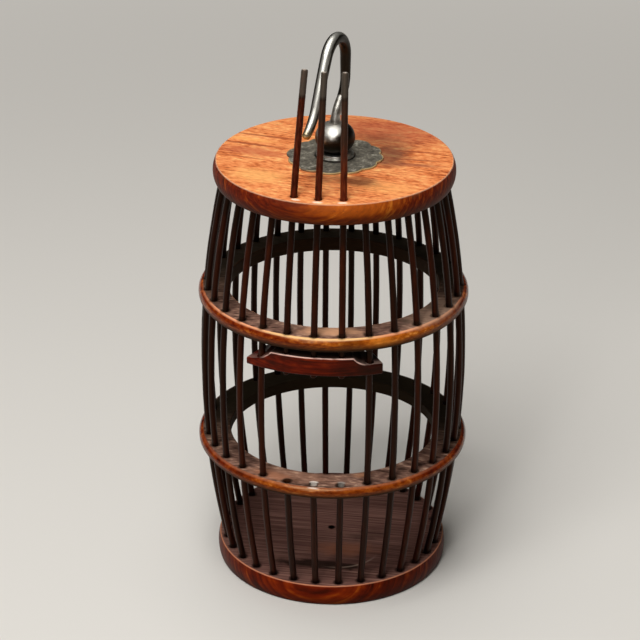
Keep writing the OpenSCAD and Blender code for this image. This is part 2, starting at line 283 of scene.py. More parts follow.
def skin(name, rings, closed, ease=0.0):
    """Join rings of points, in millimetres. The row is closed or its ends capped, and sharp edges eased."""
    bm = bmesh.new()
    rows = [[bm.verts.new(Vector(point) * MM) for point in ring] for ring in rings]
    for low, high in zip(rows, rows[1:] + rows[:1] if closed else rows[1:]):
        for k in range(len(low)):
            bm.faces.new((low[k - 1], low[k], high[k], high[k - 1]))
    if not closed:
        bm.faces.new(rows[0])
        bm.faces.new(rows[-1])
    bmesh.ops.remove_doubles(bm, verts=bm.verts, dist=SAME_POINT)
    bmesh.ops.recalc_face_normals(bm, faces=bm.faces)
    if ease:
        edges = [edge for edge in bm.edges if edge.calc_face_angle(0) > SHARP]
        bmesh.ops.bevel(bm, geom=edges, offset=ease * MM, segments=EASE_STEPS, profile=0.5, affect="EDGES",
                        clamp_overlap=True)
    mesh = bpy.data.meshes.new(name)
    bm.to_mesh(mesh)
    bm.free()
    return new_object(name, mesh)


def turned(name, section, steps, middle=(0, 0), ease=0.0):
    """A turned piece: section(angle) gives the half section as points [distance, height] in millimetres."""
    rings = []
    for k in range(steps):
        a = math.tau * k / steps
        rings.append([(middle[0] + r * math.sin(a), middle[1] - r * math.cos(a), z) for r, z in section(a)])
    return skin(name, rings, closed=True, ease=ease)


def arc(middle, radius, start, end, steps):
    """Points of an arc in a section, from one angle to another, in degrees."""
    angles = [math.radians(start + (end - start) * k / steps) for k in range(steps + 1)]
    return [(middle[0] + radius * math.cos(a), middle[1] + radius * math.sin(a)) for a in angles]


print("edges sharper than %.0f degrees are eased" % math.degrees(SHARP))


# %% [markdown]
# ## Cutting and finishing
# A hole can't be part of a turned section, so holes are cut with an exact Boolean, whose tool is thrown
# away afterwards. A finished piece is a plain mesh at the origin: its modifiers are applied, its shading
# is evened out with weighted normals, it is given its material and hung on the body that it rides on, and
# the solids that it stands for are hidden. Some finishes follow the shape, such as a worn edge, so a number
# can be stored for each point, which the material reads as an attribute.

# %% Finish a piece
def settled(piece):
    """Turn a piece's modifiers into its plain mesh."""
    graph = bpy.context.evaluated_depsgraph_get()
    mesh = bpy.data.meshes.new_from_object(piece.evaluated_get(graph), depsgraph=graph)
    piece.modifiers.clear()
    piece.data = mesh
    mesh.name = piece.name
    return piece


def cut(piece, *tools):
    """Cut each tool's shape out of a piece, then throw the tool away."""
    for tool in tools:
        boolean = piece.modifiers.new("cut", "BOOLEAN")
        boolean.operation = "DIFFERENCE"
        boolean.solver = "EXACT"
        boolean.object = tool
    settled(piece)
    for tool in tools:
        bpy.data.objects.remove(tool)


def note(piece, name, numbers):
    """Store a number for each point of a piece: a list, or a function of its place in millimetres."""
    if callable(numbers):
        numbers = [numbers(point.co / MM) for point in piece.data.vertices]
    piece.data.attributes.new(name, "FLOAT", "POINT").data.foreach_set("value", numbers)


def finish(piece, surface, body, slot, *nodes):
    """Shade a piece smoothly, give it its material, hang it on its body, and hide the solids it stands for.
    """
    mesh = piece.data
    mesh.polygons.foreach_set("use_smooth", [True] * len(mesh.polygons))
    mesh.set_sharp_from_angle(angle=SHARP)
    shading = piece.modifiers.new("even shading", "WEIGHTED_NORMAL")
    shading.keep_sharp = True
    settled(piece)
    piece.data.materials.clear()
    piece.data.materials.append(surface)
    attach(piece, body)
    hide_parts(*nodes)
    print(piece.name, "has", len(piece.data.polygons), "faces, on", body)


print("faces are shaded smooth up to %.0f degrees" % math.degrees(SHARP))

# %% [markdown]
# ## Rods by Geometry Nodes
# Thirty rods that follow one rule are work for Geometry Nodes. An Array modifier could repeat a rod, but
# all would be alike and carry the same number. Here one tree, with a named input for each size, makes the
# ring of cage rods, the short rods and the door rods. With a thicker rod and no unevenness the same tree
# gives the drill that bores the boards, so each hole follows its rod.
#
# First a straight line is bent to the bow. Its points lie closer together at the ends, where the rod is
# rounded: half a cosine wave spreads them so.

# %% Bend a line to the bow
ROD_INPUTS = {
    "Rods": "Int", "First turn": "Float", "Turn step": "Float", "Start": "Vector",
    "Diameter": "Float", "Waist radius": "Float", "Waist height": "Float", "Bow radius": "Float",
    "Foot height": "Float", "Head height": "Float", "End rounding": "Float",
    "Unevenness": "Float", "Seed": "Float", "Wood": "Material",
}
ROD_POINTS = 56

tree = bpy.data.node_groups.new("bowed rods", "GeometryNodeTree")
rod_tree = tree
rod_sockets = {}
for name, kind in ROD_INPUTS.items():
    rod_sockets[name] = tree.interface.new_socket(name, in_out="INPUT", socket_type="NodeSocket" + kind)
tree.interface.new_socket("Rods", in_out="OUTPUT", socket_type="NodeSocketGeometry")
given = add(tree, "NodeGroupInput").node.outputs
bow_r, waist_z = given["Bow radius"], given["Waist height"]

ends = []
for end in ("Foot height", "Head height"):
    slope = add(tree, "Math:DIVIDE", [add(tree, "Math:SUBTRACT", [given[end], waist_z]), bow_r])
    ends.append(add(tree, "Math:ARCSINE", [slope]))
sweep = add(tree, "Math:SUBTRACT", [ends[1], ends[0]])

line = add(tree, "GeometryNodeCurvePrimitiveLine")
line = add(tree, "GeometryNodeResampleCurve", {"Curve": line, "Count": ROD_POINTS})
factor = add(tree, "GeometryNodeSplineParameter", out="Factor")
wave = add(tree, "Math:COSINE", [add(tree, "Math:MULTIPLY", [factor, math.pi])])
left = add(tree, "Math:MULTIPLY_ADD", [wave, 0.5, 0.5])
angle = add(tree, "Math:SUBTRACT", [ends[1], add(tree, "Math:MULTIPLY", [left, sweep])])
reach = add(tree, "Math:MULTIPLY", [bow_r, add(tree, "Math:COSINE", [angle])])
centre = add(tree, "Math:SUBTRACT", [bow_r, given["Waist radius"]])
bow_y = add(tree, "Math:SUBTRACT", [centre, reach])
bow_z = add(tree, "Math:MULTIPLY_ADD", [add(tree, "Math:SINE", [angle]), bow_r, waist_z])
bowed = add(tree, "CombineXYZ", {"Y": bow_y, "Z": bow_z})
print("the bow takes", len(tree.nodes), "nodes")

# %% [markdown]
# The bent line then gets a round section, thinner within the rounding at each end, and copies of the rod
# are set round the barrel. Each copy takes a number between 0 and 1, so that the material can make one
# rod darker than the next, as rods split from different wood are.

# %% Give the rods a section and set them round
ROD_SIDES = 16
END_SHARE = 0.7
length = add(tree, "Math:MULTIPLY", [sweep, bow_r])
from_head = add(tree, "Math:MULTIPLY", [left, length])
from_foot = add(tree, "Math:SUBTRACT", [length, from_head])
from_end = add(tree, "Math:MINIMUM", [from_head, from_foot])
radius = add(tree, "Math:MULTIPLY", [given["Diameter"], 0.5])
end_radius = add(tree, "Math:MULTIPLY", [radius, END_SHARE])
rounded = add(tree, "MapRange", [from_end, 0.0, given["End rounding"], end_radius, radius])
line = add(tree, "GeometryNodeSetCurveRadius", {"Curve": line, "Radius": rounded})
line = add(tree, "GeometryNodeSetPosition", {"Geometry": line, "Position": bowed})
circle = add(tree, "GeometryNodeCurvePrimitiveCircle", {"Resolution": ROD_SIDES, "Radius": 1.0})
thickness = add(tree, "GeometryNodeInputRadius")
rod = add(tree, "GeometryNodeCurveToMesh",
          {"Curve": line, "Profile Curve": circle, "Scale": thickness, "Fill Caps": True})

spots = add(tree, "GeometryNodePoints", {"Count": given["Rods"]})
number = add(tree, "GeometryNodeInputIndex")
turn = add(tree, "Math:MULTIPLY_ADD", [number, given["Turn step"], given["First turn"]])
facing = add(tree, "CombineXYZ", {"Z": turn})
ring = add(tree, "GeometryNodeInstanceOnPoints", {"Points": spots, "Instance": rod, "Rotation": facing})
ring = add(tree, "GeometryNodeTranslateInstances",
           {"Instances": ring, "Translation": given["Start"], "Local Space": False})
shade = add(tree, "Math:ADD", [turn, given["Seed"]])
shade = add(tree, "TexWhiteNoise", {"W": shade}, out="Value", noise_dimensions="1D")
ring = add(tree, "GeometryNodeStoreNamedAttribute",
           {"Geometry": ring, "Name": "rod_shade", "Value": shade}, data_type="FLOAT", domain="INSTANCE")
ring = add(tree, "GeometryNodeRealizeInstances", {"Geometry": ring})
print("with section and ring:", len(tree.nodes), "nodes")

# %% [markdown]
# A rod scraped by hand isn't quite round or straight. Noise drawn out along the rod moves each point a
# little along its normal, by no more than the room the rod has in its holes.

# %% Scrape the rods uneven
UNEVEN_SIZE = (0.004, 0.004, 0.022)
ROD_SEED = 5.0
position = add(tree, "GeometryNodeInputPosition")
scaled = add(tree, "VectorMath:DIVIDE", [position, UNEVEN_SIZE])
bumps = add(tree, "TexNoise:4D", {"Vector": scaled, "W": given["Seed"], "Scale": 1.0, "Detail": 2.0})
bumps = add(tree, "Math:SUBTRACT", [bumps, 0.5])
bumps = add(tree, "Math:MULTIPLY", [bumps, given["Unevenness"]])
swell = add(tree, "VectorMath:SCALE", [add(tree, "GeometryNodeInputNormal"), bumps])
ring = add(tree, "GeometryNodeSetPosition", {"Geometry": ring, "Offset": swell})
ring = add(tree, "GeometryNodeSetMaterial", {"Geometry": ring, "Material": given["Wood"]})
add(tree, "NodeGroupOutput", {0: ring})


def bowed_rods(name, foot, head, count=1, first=0.0, start=(0, 0, 0), diameter=ROD_D,
               rounding=0.01, uneven=0.0, wood=None):
    """Rods between two heights, from a first turn onwards, as a plain mesh. Sizes are in millimetres."""
    piece = new_object(name, bpy.data.meshes.new(name))
    modifier = piece.modifiers.new("bowed rods", "NODES")
    modifier.node_group = rod_tree
    values = {
        "Rods": count, "First turn": first, "Turn step": PITCH, "Start": Vector(start) * MM,
        "Diameter": diameter * MM, "Waist radius": WAIST_R * MM, "Waist height": WAIST_Z * MM,
        "Bow radius": BOW_R * MM, "Foot height": foot * MM, "Head height": head * MM,
        "End rounding": rounding * MM, "Unevenness": uneven * MM, "Seed": ROD_SEED, "Wood": wood,
    }
    for name, value in values.items():
        modifier[rod_sockets[name].identifier] = value
    return settled(piece)


print("rod tree has", len(rod_tree.nodes), "nodes")


# %% [markdown]
# ## Where the door's rods run
# The side rods of the door lean less than the fixed rods beside them, so that the door can slide. Each
# door rod's joint tells its line: the joint's axis is square to the rod's plane, and its place is the
# middle of the bow.

# %% Find the door's lines
def door_line(joint):
    """Turn of a door rod, and the place that it is turned about, in millimetres."""
    axis = joints[joint]["axis"]
    lean = math.atan2(axis[1], axis[0])
    outward = Vector((math.sin(lean), -math.cos(lean), 0))
    start = Vector(joints[joint]["pos_m"]) / MM + (BOW_R - WAIST_R) * outward
    return lean, (start.x, start.y, 0)


DOOR_LINES = {
    "left": door_line("door_left_slide"),
    "middle": door_line("door_slide"),
    "right": door_line("door_right_slide"),
}


def door_place(side, z):
    """Where a door rod's middle line crosses a height, in millimetres."""
    lean, start = DOOR_LINES[side]
    return Vector((start[0] + rod_line(z) * math.sin(lean), start[1] - rod_line(z) * math.cos(lean), z))


print({side: [round(v, 2) for v in door_place(side, lid_high.z)] for side in DOOR_LINES})


# %% [markdown]
# ## How the wood is drawn
# Rosewood is dark layers in an orange or red ground, with short flecks and open pores along the fibres. A
# picture of wood wouldn't meet itself at the edges. Noise that is drawn out along the fibres in three
# dimensions gives the figure on every face at once: the flat of a board shows lines, and its turned edge
# shows the arcs where it cuts the same tilted layers.
#
# Marks of use are masks over the figure, and so are painted light and shade: rings round the axis, oval
# spots, dirt and painted contact shade where the rods stand, and dust on faces that look upwards. Each is
# worked out from the Object coordinates, which are metres in the common frame.

# %% Draw the figure
def stretched(tree, size, turn=0.0, tilt=0.0, seed=0.0, detail=3.0, warp=0.0):
    """Noise along the fibres: size is along them, across them and into the board, in millimetres."""
    place = add(tree, "TexCoord", out="Object")
    laid = add(tree, "Mapping:TEXTURE",
               {"Vector": place, "Rotation": (tilt, 0, turn), "Scale": [s * MM for s in size]})
    return add(tree, "TexNoise:4D",
               {"Vector": laid, "W": seed, "Scale": 1.0, "Detail": detail, "Distortion": warp})


def from_axis(tree):
    """Distance from the barrel's axis, and the height, as sockets in metres."""
    place = add(tree, "TexCoord", out="Object")
    distance = add(tree, "VectorMath:LENGTH", [add(tree, "VectorMath:MULTIPLY", [place, (1, 1, 0)])])
    return distance, add(tree, "SeparateXYZ", [place], out="Z")


def drawn_round(tree, size, seed, detail=3.0):
    """Noise drawn out round the barrel: size is round it and across it, in millimetres.

    The fourth dimension of the noise runs across the section, so the pattern has no seam.
    """
    place = add(tree, "TexCoord", out="Object")
    slow = add(tree, "VectorMath:SCALE", [place, 1 / (size[0] * MM)])
    fast = add(tree, "Math:ADD", [*from_axis(tree)])
    fast = add(tree, "Math:MULTIPLY_ADD", [fast, 1 / (size[1] * MM), seed])
    return add(tree, "TexNoise:4D", {"Vector": slow, "W": fast, "Scale": 1.0, "Detail": detail})


print("noise is drawn in millimetres:", MM, "m")


# %% [markdown]
# A mask is 1 where a mark is full and 0 where there is none. It fades out over a gap, which is measured
# from a ring, a spot, a height or a rod, so one fading function serves them all.

# %% Masks for the marks
STRAY = (5, 3, 5)


def faded(tree, gap, near, far, most=1.0):
    """A mask that is strongest up to a near gap and gone at a far one, in millimetres."""
    return add(tree, "MapRange:SMOOTHSTEP", [gap, near * MM, far * MM, most, 0.0])


def near_ring(tree, radius, z, near, far, most=1.0):
    """A mask along a circle round the axis."""
    distance, height = from_axis(tree)
    section = add(tree, "CombineXYZ", {"X": distance, "Z": height})
    gap = add(tree, "VectorMath:DISTANCE", [section, (radius * MM, 0, z * MM)])
    return faded(tree, gap, near, far, most)


def near_height(tree, z, near, far, most=1.0):
    """A mask round a height."""
    gap = add(tree, "Math:SUBTRACT", [from_axis(tree)[1], z * MM])
    return faded(tree, add(tree, "Math:ABSOLUTE", [gap]), near, far, most)


def near_spot(tree, place, reach, turn=0.0, ragged=0.0, core=0.2, most=1.0):
    """A mask over an oval spot: its reach each way in millimetres, and how much its edge strays."""
    here = add(tree, "TexCoord", out="Object")
    spot = add(tree, "Mapping:TEXTURE", [here, Vector(place) * MM, (0, 0, turn), [r * MM for r in reach]])
    gap = add(tree, "VectorMath:LENGTH", [spot])
    if ragged:
        stray = stretched(tree, STRAY, turn, seed=place[0], detail=5.0)
        gap = add(tree, "Math:MULTIPLY_ADD", [stray, 2 * ragged, gap])
    return add(tree, "MapRange:SMOOTHSTEP", [gap, core + ragged, 1.0 + ragged, most, 0.0])


def near_rods(tree, near, far, most=1.0):
    """A mask round each rod place at any height. The bow is flat enough to be drawn as a parabola."""
    across = add(tree, "SeparateXYZ", [add(tree, "TexCoord", out="Object")]).node.outputs
    turn = add(tree, "Math:ARCTAN2", [across["X"], across["Y"]])
    turn = add(tree, "Math:WRAP", [turn, PITCH / 2, -PITCH / 2])
    distance, height = from_axis(tree)
    aside = add(tree, "Math:MULTIPLY", [turn, distance])
    climb = add(tree, "Math:SUBTRACT", [height, WAIST_Z * MM])
    bend = add(tree, "Math:MULTIPLY", [climb, climb])
    inward = add(tree, "Math:MULTIPLY_ADD", [bend, 0.5 / (BOW_R * MM), distance])
    outward = add(tree, "Math:SUBTRACT", [inward, WAIST_R * MM])
    flat = add(tree, "CombineXYZ", {"X": aside, "Y": outward})
    return faded(tree, add(tree, "VectorMath:LENGTH", [flat]), near, far, most)


def facing_up(tree, least, full):
    """A mask over faces that look upwards: the rise of their normal where it starts and where it is full."""
    normal = add(tree, "TexCoord", out="Normal")
    return add(tree, "MapRange", [add(tree, "SeparateXYZ", [normal], out="Z"), least, full])


def marked(tree, colour, *marks):
    """A colour with marks laid over it in turn, each a mask and the colour it turns to."""
    for mask, mark in marks:
        colour = add(tree, "Mix:RGBA", [mask, colour, linear(mark)])
    return colour


def spotted(tree, colour, rows):
    """A colour with a table of oval spots laid over it: each row is a spot's settings and its colour."""
    for *spot, mark in rows:
        colour = marked(tree, colour, (near_spot(tree, *spot), mark))
    return colour


def on_level(rows, z, deep):
    """A table of spots on one level: each row gets its height, and how deep it reaches."""
    return [((*place, z), (*reach, deep), *others) for place, reach, *others in rows]


print("a ragged edge strays over", STRAY, "mm")

# %% [markdown]
# ## Waxed rosewood
# Wax has a refractive index of about 1.45, and hand-rubbed wood isn't mirror-smooth: a roughness of 0.2
# on a hoop's nose, which hands polish, and 0.85 where dust lies. The layers are about 1.5 mm thick, and
# the flecks are a little thicker and 7 mm long. Real pores are finer than the picture can show, so they
# are drawn half a millimetre wide. Layers and pores also go into the bump, a few hundredths of a
# millimetre deep.

# %% Rosewood and wax
WAX_IOR, WAX_DEPTH, WAX_RELIEF = 1.45, 0.03, 0.5
LAYERS, FLECKS, PORES = (55, 16, 1.5), (7, 1.8, 1.8), (4, 0.5, 0.5)
PORE_FROM, PORE_FULL = 0.6, 0.7


def open_pores(tree, turn, tilt, seed):
    """A mask over the pores along the fibres."""
    pores = stretched(tree, PORES, turn, tilt, seed, 2.0)
    return add(tree, "MapRange", [pores, PORE_FROM, PORE_FULL])


def rosewood(tree, turn, tilt, seed, flecked=0.5, darkest=0.34):
    """Figure of a board from 0, dark, to 1, pale, and its pores. A lower darkest makes a calmer figure."""
    layers = stretched(tree, LAYERS, turn, tilt, seed, 3.0, 0.4)
    flecks = stretched(tree, FLECKS, turn, tilt, seed + 3, 4.0, 0.2)
    mixed = add(tree, "Mix:FLOAT", [flecked, layers, flecks])
    figure = add(tree, "MapRange", [mixed, darkest, 1 - darkest])
    return figure, open_pores(tree, turn, tilt, seed + 7)


def waxed(wood, colour, roughness, figure, pores, gloss, tint):
    """Close a wood's tree with a waxed surface. Old wax tints what it mirrors."""
    tree = wood.node_tree
    relief = add(tree, "Math:SUBTRACT", [figure, pores])
    bump = add(tree, "Bump", {"Height": relief, "Strength": WAX_RELIEF, "Distance": WAX_DEPTH * MM})
    close(wood, "BsdfPrincipled",
          {"Base Color": colour, "Roughness": roughness, "IOR": WAX_IOR, "Specular IOR Level": gloss,
           "Specular Tint": linear(tint), "Normal": bump})


print("wood layers %.1f mm thick" % LAYERS[2])


# %% [markdown]
# ## Turned boards
# Base, hoops and lid come off a lathe, so each is half a section carried round the axis. The drilled
# holes are cut afterwards by the rods' own tree. The lid and the base have a flat arc for an edge, and
# the hoops a half-round one.

# %% Tools for turned boards
BOARD_STEPS, EDGE_STEPS, NOSE_STEPS, PEG_STEPS = 192, 10, 20, 32
BOARD_EASE = 0.45
CUT_OVER = 2
FIRST_FIXED = 2
FIXED = PLACES - 2 * FIRST_FIXED + 1
SHORT = PLACES - FIXED
HOLE_DEPTH = 5.5
HOLE_D, SLIDE_D = ROD_D + 0.4, ROD_D + 0.6


def board_section(radius, low, high, edge_r):
    """Half section of a board with a flat arc for its edge."""
    half = (high - low) / 2
    bulge = math.degrees(math.asin(half / edge_r))
    return [(0, low), *arc((radius - edge_r, low + half), edge_r, -bulge, bulge, EDGE_STEPS), (0, high)]


def board_rim(radius, low, high, edge_r):
    """Distance of the arris where such a board's top meets its edge."""
    return radius - edge_r + math.sqrt(edge_r ** 2 - (high - low) ** 2 / 4)


def hoop_section(radius, low, high, width, nose):
    """Half section of a hoop whose edge is a half-round nose of the given depth."""
    half = (high - low) / 2
    half_round = arc((0, 0), 1, -90, 90, NOSE_STEPS)
    edge = [(radius - nose + nose * c, low + half + half * s) for c, s in half_round]
    return [(radius - width, low), *edge, (radius - width, high)]


def ring_drill(low, high, count=PLACES, first=0.0):
    """Drill for the fixed rods between two heights."""
    return bowed_rods("drill", low, high, count, first, diameter=HOLE_D)


def door_drills(low, high, diameter):
    """Drills for the three door rods between two heights."""
    return [bowed_rods("drill", low, high, 1, lean, start, diameter) for lean, start in DOOR_LINES.values()]


def peg_drill(low, high, radius, middle=(0, 0)):
    """A plain upright drill."""
    return turned("drill", lambda a: [(0, low), (radius, low), (radius, high), (0, high)], PEG_STEPS, middle)


print("fixed rods:", FIXED, "of", PLACES, "places")

# %% [markdown]
# ## Lid
# The lid is the finest board: orange rosewood with short red and yellow flecks on top, its fibres running
# a little askew, and a darker side, where the tilted layers show as arcs. The side is painted brightest in
# front, as the light that falls there, with a painted highlight under the rim. The two are drawn apart, and
# which one shows depends on how far a face looks upwards.

# %% Draw the lid's figure
LID_TURN, LAYER_TILT = math.radians(-9), math.radians(62)
LID_EDGE_R, LID_EASE = 8.5, 0.28
LID_LINES, LID_MOTTLE, LID_FLECKS, LID_CURLS = (34, 1.3, 1.3), (14, 7, 7), (2.4, 0.9, 0.9), (14, 3.5, 0.7)
FLECK_SHARE, CURL_SHARE = 0.38, 0.42

lid_wood = new_material("waxed rosewood lid")
tree = lid_wood.node_tree
lines = stretched(tree, LID_LINES, LID_TURN, seed=2.0, detail=4.0, warp=0.15)
mottle = stretched(tree, LID_MOTTLE, LID_TURN, seed=4.0, detail=5.0, warp=0.6)
flecks = stretched(tree, LID_FLECKS, LID_TURN, seed=5.0)
broad = add(tree, "Mix:FLOAT", [0.5, lines, mottle])
broad = add(tree, "Mix:FLOAT", [FLECK_SHARE, broad, flecks])
broad = add(tree, "MapRange", [broad, 0.38, 0.61])
face = add(tree, "ValToRGB", [broad], stops=[
    (0.03, "#9c4826"), (0.28, "#d0713c"), (0.52, "#ec8e54"), (0.75, "#f6a364"), (0.97, "#ffc078")])
figure, pores = rosewood(tree, LID_TURN, LAYER_TILT, 2.0, 0.25, 0.27)
curls = stretched(tree, LID_CURLS, LID_TURN, LAYER_TILT, 3.0, 4.0, 0.7)
curls = add(tree, "MapRange", [curls, 0.3, 0.7])
figure = add(tree, "Mix:FLOAT", [CURL_SHARE, figure, curls])
lit_side = add(tree, "ValToRGB", [figure], stops=[
    (0.15, "#4a1002"), (0.4, "#8c3006"), (0.58, "#b8520c"), (0.8, "#eb9432")])
shaded_side = add(tree, "ValToRGB", [figure], stops=[
    (0.15, "#2a0500"), (0.4, "#560e01"), (0.58, "#752003"), (0.8, "#a84a0c")])
# painted light: lit and shaded copies of the side's colour, lit in front
painted_front_light = near_spot(tree, (14, -58, lid_low.z), (40, 34, 40), core=0.3)
side = add(tree, "Mix:RGBA", [painted_front_light, shaded_side, lit_side])
# painted highlight on the side just under the rim
glint = near_spot(tree, (14, -46, lid_high.z - 2), (26, 14, 4.5), turn=0.3, ragged=0.4, core=0.3, most=0.5)
side = marked(tree, side, (glint, "#cc6618"))
on_top = facing_up(tree, 0.955, 0.985)
colour = add(tree, "Mix:RGBA", [on_top, side, face])
print("the lid's figure takes", len(tree.nodes), "nodes")

# %% [markdown]
# Dark veins run in from the left and the right, and the plate's surroundings are stained. They could be
# painted on an image, but a table of long and short spots can be read and changed, and needs no picture
# file. Between the door's holes and the rim the wood is chipped pale. Faces that look down are painted dark
# as shade, the pale line on the rim is partly worn wood and partly a painted highlight, and the dark ring
# round each door hole is dirt and painted shade.

# %% Mark the lid
CHIPS = {"left": (-8.8, -44.6), "middle": (0.2, -45.9), "right": (9.8, -44.9)}
LID_SPOT_DEEP = 5
LID_SPOTS = [  # middle, reach, turn, ragged, core, most, colour
    ((-37, 14.2), (16, 2.6), LID_TURN, 0.2, 0.2, 0.6, "#ffb565"),
    ((-33, 1.5), (24, 6.5), LID_TURN, 0.3, 0.2, 0.6, "#bf6444"),
    ((-30, 18.5), (22, 1.3), LID_TURN, 0.25, 0.2, 0.75, "#8e3d26"),
    ((-35, 9.0), (22, 1.4), LID_TURN, 0.25, 0.2, 0.75, "#8e3d26"),
    ((-38, -4.5), (16, 1.0), LID_TURN, 0.25, 0.2, 0.6, "#9a472c"),
    ((-27, -23), (17, 10), LID_TURN, 0.3, 0.2, 0.5, "#ffc072"),
    ((24, -27), (17, 9), LID_TURN, 0.3, 0.2, 0.45, "#ffb66c"),
    ((33, 11.8), (14, 1.0), -0.03, 0.25, 0.2, 0.65, "#93432c"),
    ((34.5, 3.0), (13, 1.0), 0.0, 0.25, 0.2, 0.7, "#8c3d28"),
    ((32, -2.4), (16, 2.6), 0.0, 0.3, 0.2, 0.65, "#8c4a38"),
    ((16, 33), (46, 20), LID_TURN, 0.0, 0.2, 0.6, "#a8503c"),
    ((17, 19), (22, 15), LID_TURN, 0.5, 0.2, 0.5, "#633a2e"),
    ((21, 5), (12, 16), LID_TURN, 0.4, 0.3, 0.75, "#5a342c"),
    ((12.5, -22.5), (12, 6.5), LID_TURN, 0.6, 0.2, 0.72, "#4b2a1e"),
    ((-1, -22), (10, 5.5), LID_TURN, 0.6, 0.2, 0.5, "#573124"),
]

# painted shade: faces that look down are darkened
shaded_underside = add(tree, "Math:MULTIPLY", [facing_up(tree, 0.05, -0.6), 0.85])
pore_mask = add(tree, "Math:MULTIPLY", [pores, 0.6])
colour = marked(tree, colour, (shaded_underside, "#170400"), (pore_mask, "#7a3418"))
colour = spotted(tree, colour, on_level(LID_SPOTS, lid_high.z, LID_SPOT_DEEP))
rim_r = board_rim(lid_high.x, lid_low.z, lid_high.z, LID_EDGE_R)
# pale rim line: partly worn wood, partly a painted highlight
colour = marked(tree, colour, (near_ring(tree, rim_r, lid_high.z, 0.1, 0.5, 0.5), "#f6bd95"))
for rod_side, (x, y) in CHIPS.items():
    # dark ring round the hole: dirt and painted shade
    hole_dirt_and_shade = near_spot(tree, door_place(rod_side, lid_high.z), (2.8, 2.8, 6), core=0.55, most=0.4)
    chip = near_spot(tree, (x, y, lid_high.z), (2.6, 1.2, 1.0), turn=math.atan2(x, -y),
                     ragged=0.3, core=0.4, most=0.95)
    colour = marked(tree, colour, (hole_dirt_and_shade, "#3a160b"), (chip, "#ffe2c6"))
rough = add(tree, "MapRange", {"Value": on_top, "To Min": 0.6, "To Max": 0.42})
waxed(lid_wood, colour, rough, broad, pores, gloss=0.35, tint="#ffd9b0")

# %% [markdown]
# The lid's shape is one section, turned. The drill for the fixed rods stops inside the board, as theirs
# are blind holes, while the door's rods and the hook's pin pass right through.

# %% Turn and drill the lid
PIN_Y = joints["hook_swivel"]["pos_m"][1] / MM
PIN_HOLE_R = 1.9
lid = turned("turned_lid", lambda a: board_section(lid_high.x, lid_low.z, lid_high.z, LID_EDGE_R),
             BOARD_STEPS, ease=LID_EASE)
cut(lid,
    ring_drill(lid_low.z - CUT_OVER, lid_low.z + HOLE_DEPTH, FIXED, FIRST_FIXED * PITCH),
    *door_drills(lid_low.z - CUT_OVER, lid_high.z + CUT_OVER, SLIDE_D),
    peg_drill(lid_low.z - CUT_OVER, lid_high.z + CUT_OVER, PIN_HOLE_R, (0, PIN_Y)))
finish(lid, lid_wood, "cage", "lid_wood", "lid")

# %% [markdown]
# ## Hoops
# The hoops are handled most: their noses are polished red, and painted orange in front, partly where hands
# reach them and partly as the light that falls there.
# Straight fibres would show end grain right and left. The hoops show streaks all the way round, so their
# figure is drawn out round the barrel.

# %% Colour the noses of the hoops
HOOP_STREAKS, HOOP_FLECKS = (14, 1.1), (2.2, 0.7)
NOSE_SPOTS = [  # middle, reach, turn, ragged, core, most, colour
    ((27.5, -48.5, upper_low.z + 2), (9, 9, 9), 0.0, 0.5, 0.2, 0.5, "#ff9a34"),
    ((15.4, -53.6, upper_low.z + 2.5), (8, 7, 8), 0.0, 0.4, 0.3, 0.6, "#5a2806"),
]

hoop_wood = new_material("waxed rosewood hoop")
tree = hoop_wood.node_tree
streaks = drawn_round(tree, HOOP_STREAKS, 9.0, 4.0)
flecks = drawn_round(tree, HOOP_FLECKS, 3.0, 4.0)
streaks = add(tree, "Mix:FLOAT", [0.5, streaks, flecks])
figure = add(tree, "MapRange", [streaks, 0.32, 0.68])
red_nose = add(tree, "ValToRGB", [figure], stops=[
    (0.04, "#3c0d02"), (0.4, "#6a1d06"), (0.65, "#88340c"), (0.92, "#b8601e")])
bright_nose = add(tree, "ValToRGB", [figure], stops=[
    (0.04, "#6a2606"), (0.4, "#b05410"), (0.65, "#d8761e"), (0.92, "#ffb054")])
# painted light as well as polish: the bright copy is mixed in where light falls in front
polished_and_lit_upper = near_spot(tree, (28, -48, upper_low.z), (42, 46, 20), core=0.4, most=0.75)
polished_and_lit_lower = near_spot(tree, (8, -52, lower_low.z), (52, 40, 20), core=0.4, most=0.3)
rubbed = add(tree, "Math:MAXIMUM", [polished_and_lit_upper, polished_and_lit_lower])
nose = add(tree, "Mix:RGBA", [rubbed, red_nose, bright_nose])
nose = spotted(tree, nose, NOSE_SPOTS)
print("the noses take", len(tree.nodes), "nodes")

# %% [markdown]
# Dust has settled on the flats of the hoops, mauve on the left, grey-brown on the right, and rubbed off to
# bare tan in front by the door. The back is painted almost black as shade, and the inner wall and the
# underside of the nose are painted dark as shade too. Dirt and painted contact shade stand round each rod.
# Where nose and flat meet, a painted highlight runs along the crest.

# %% Colour the flats of the hoops
LOWER_HOOP_W, UPPER_HOOP_W, HOOP_NOSE = 13.4, 12.0, 2.4
WALL_R = upper_high.x - UPPER_HOOP_W + 1.0
DUST_CLOUD, DUST_GRIT, GRIT_SHARE = (9, 6, 6), (3.5, 1.2, 1.2), 0.55
CREST_FROM, CREST_FULL = 0.68, 0.9
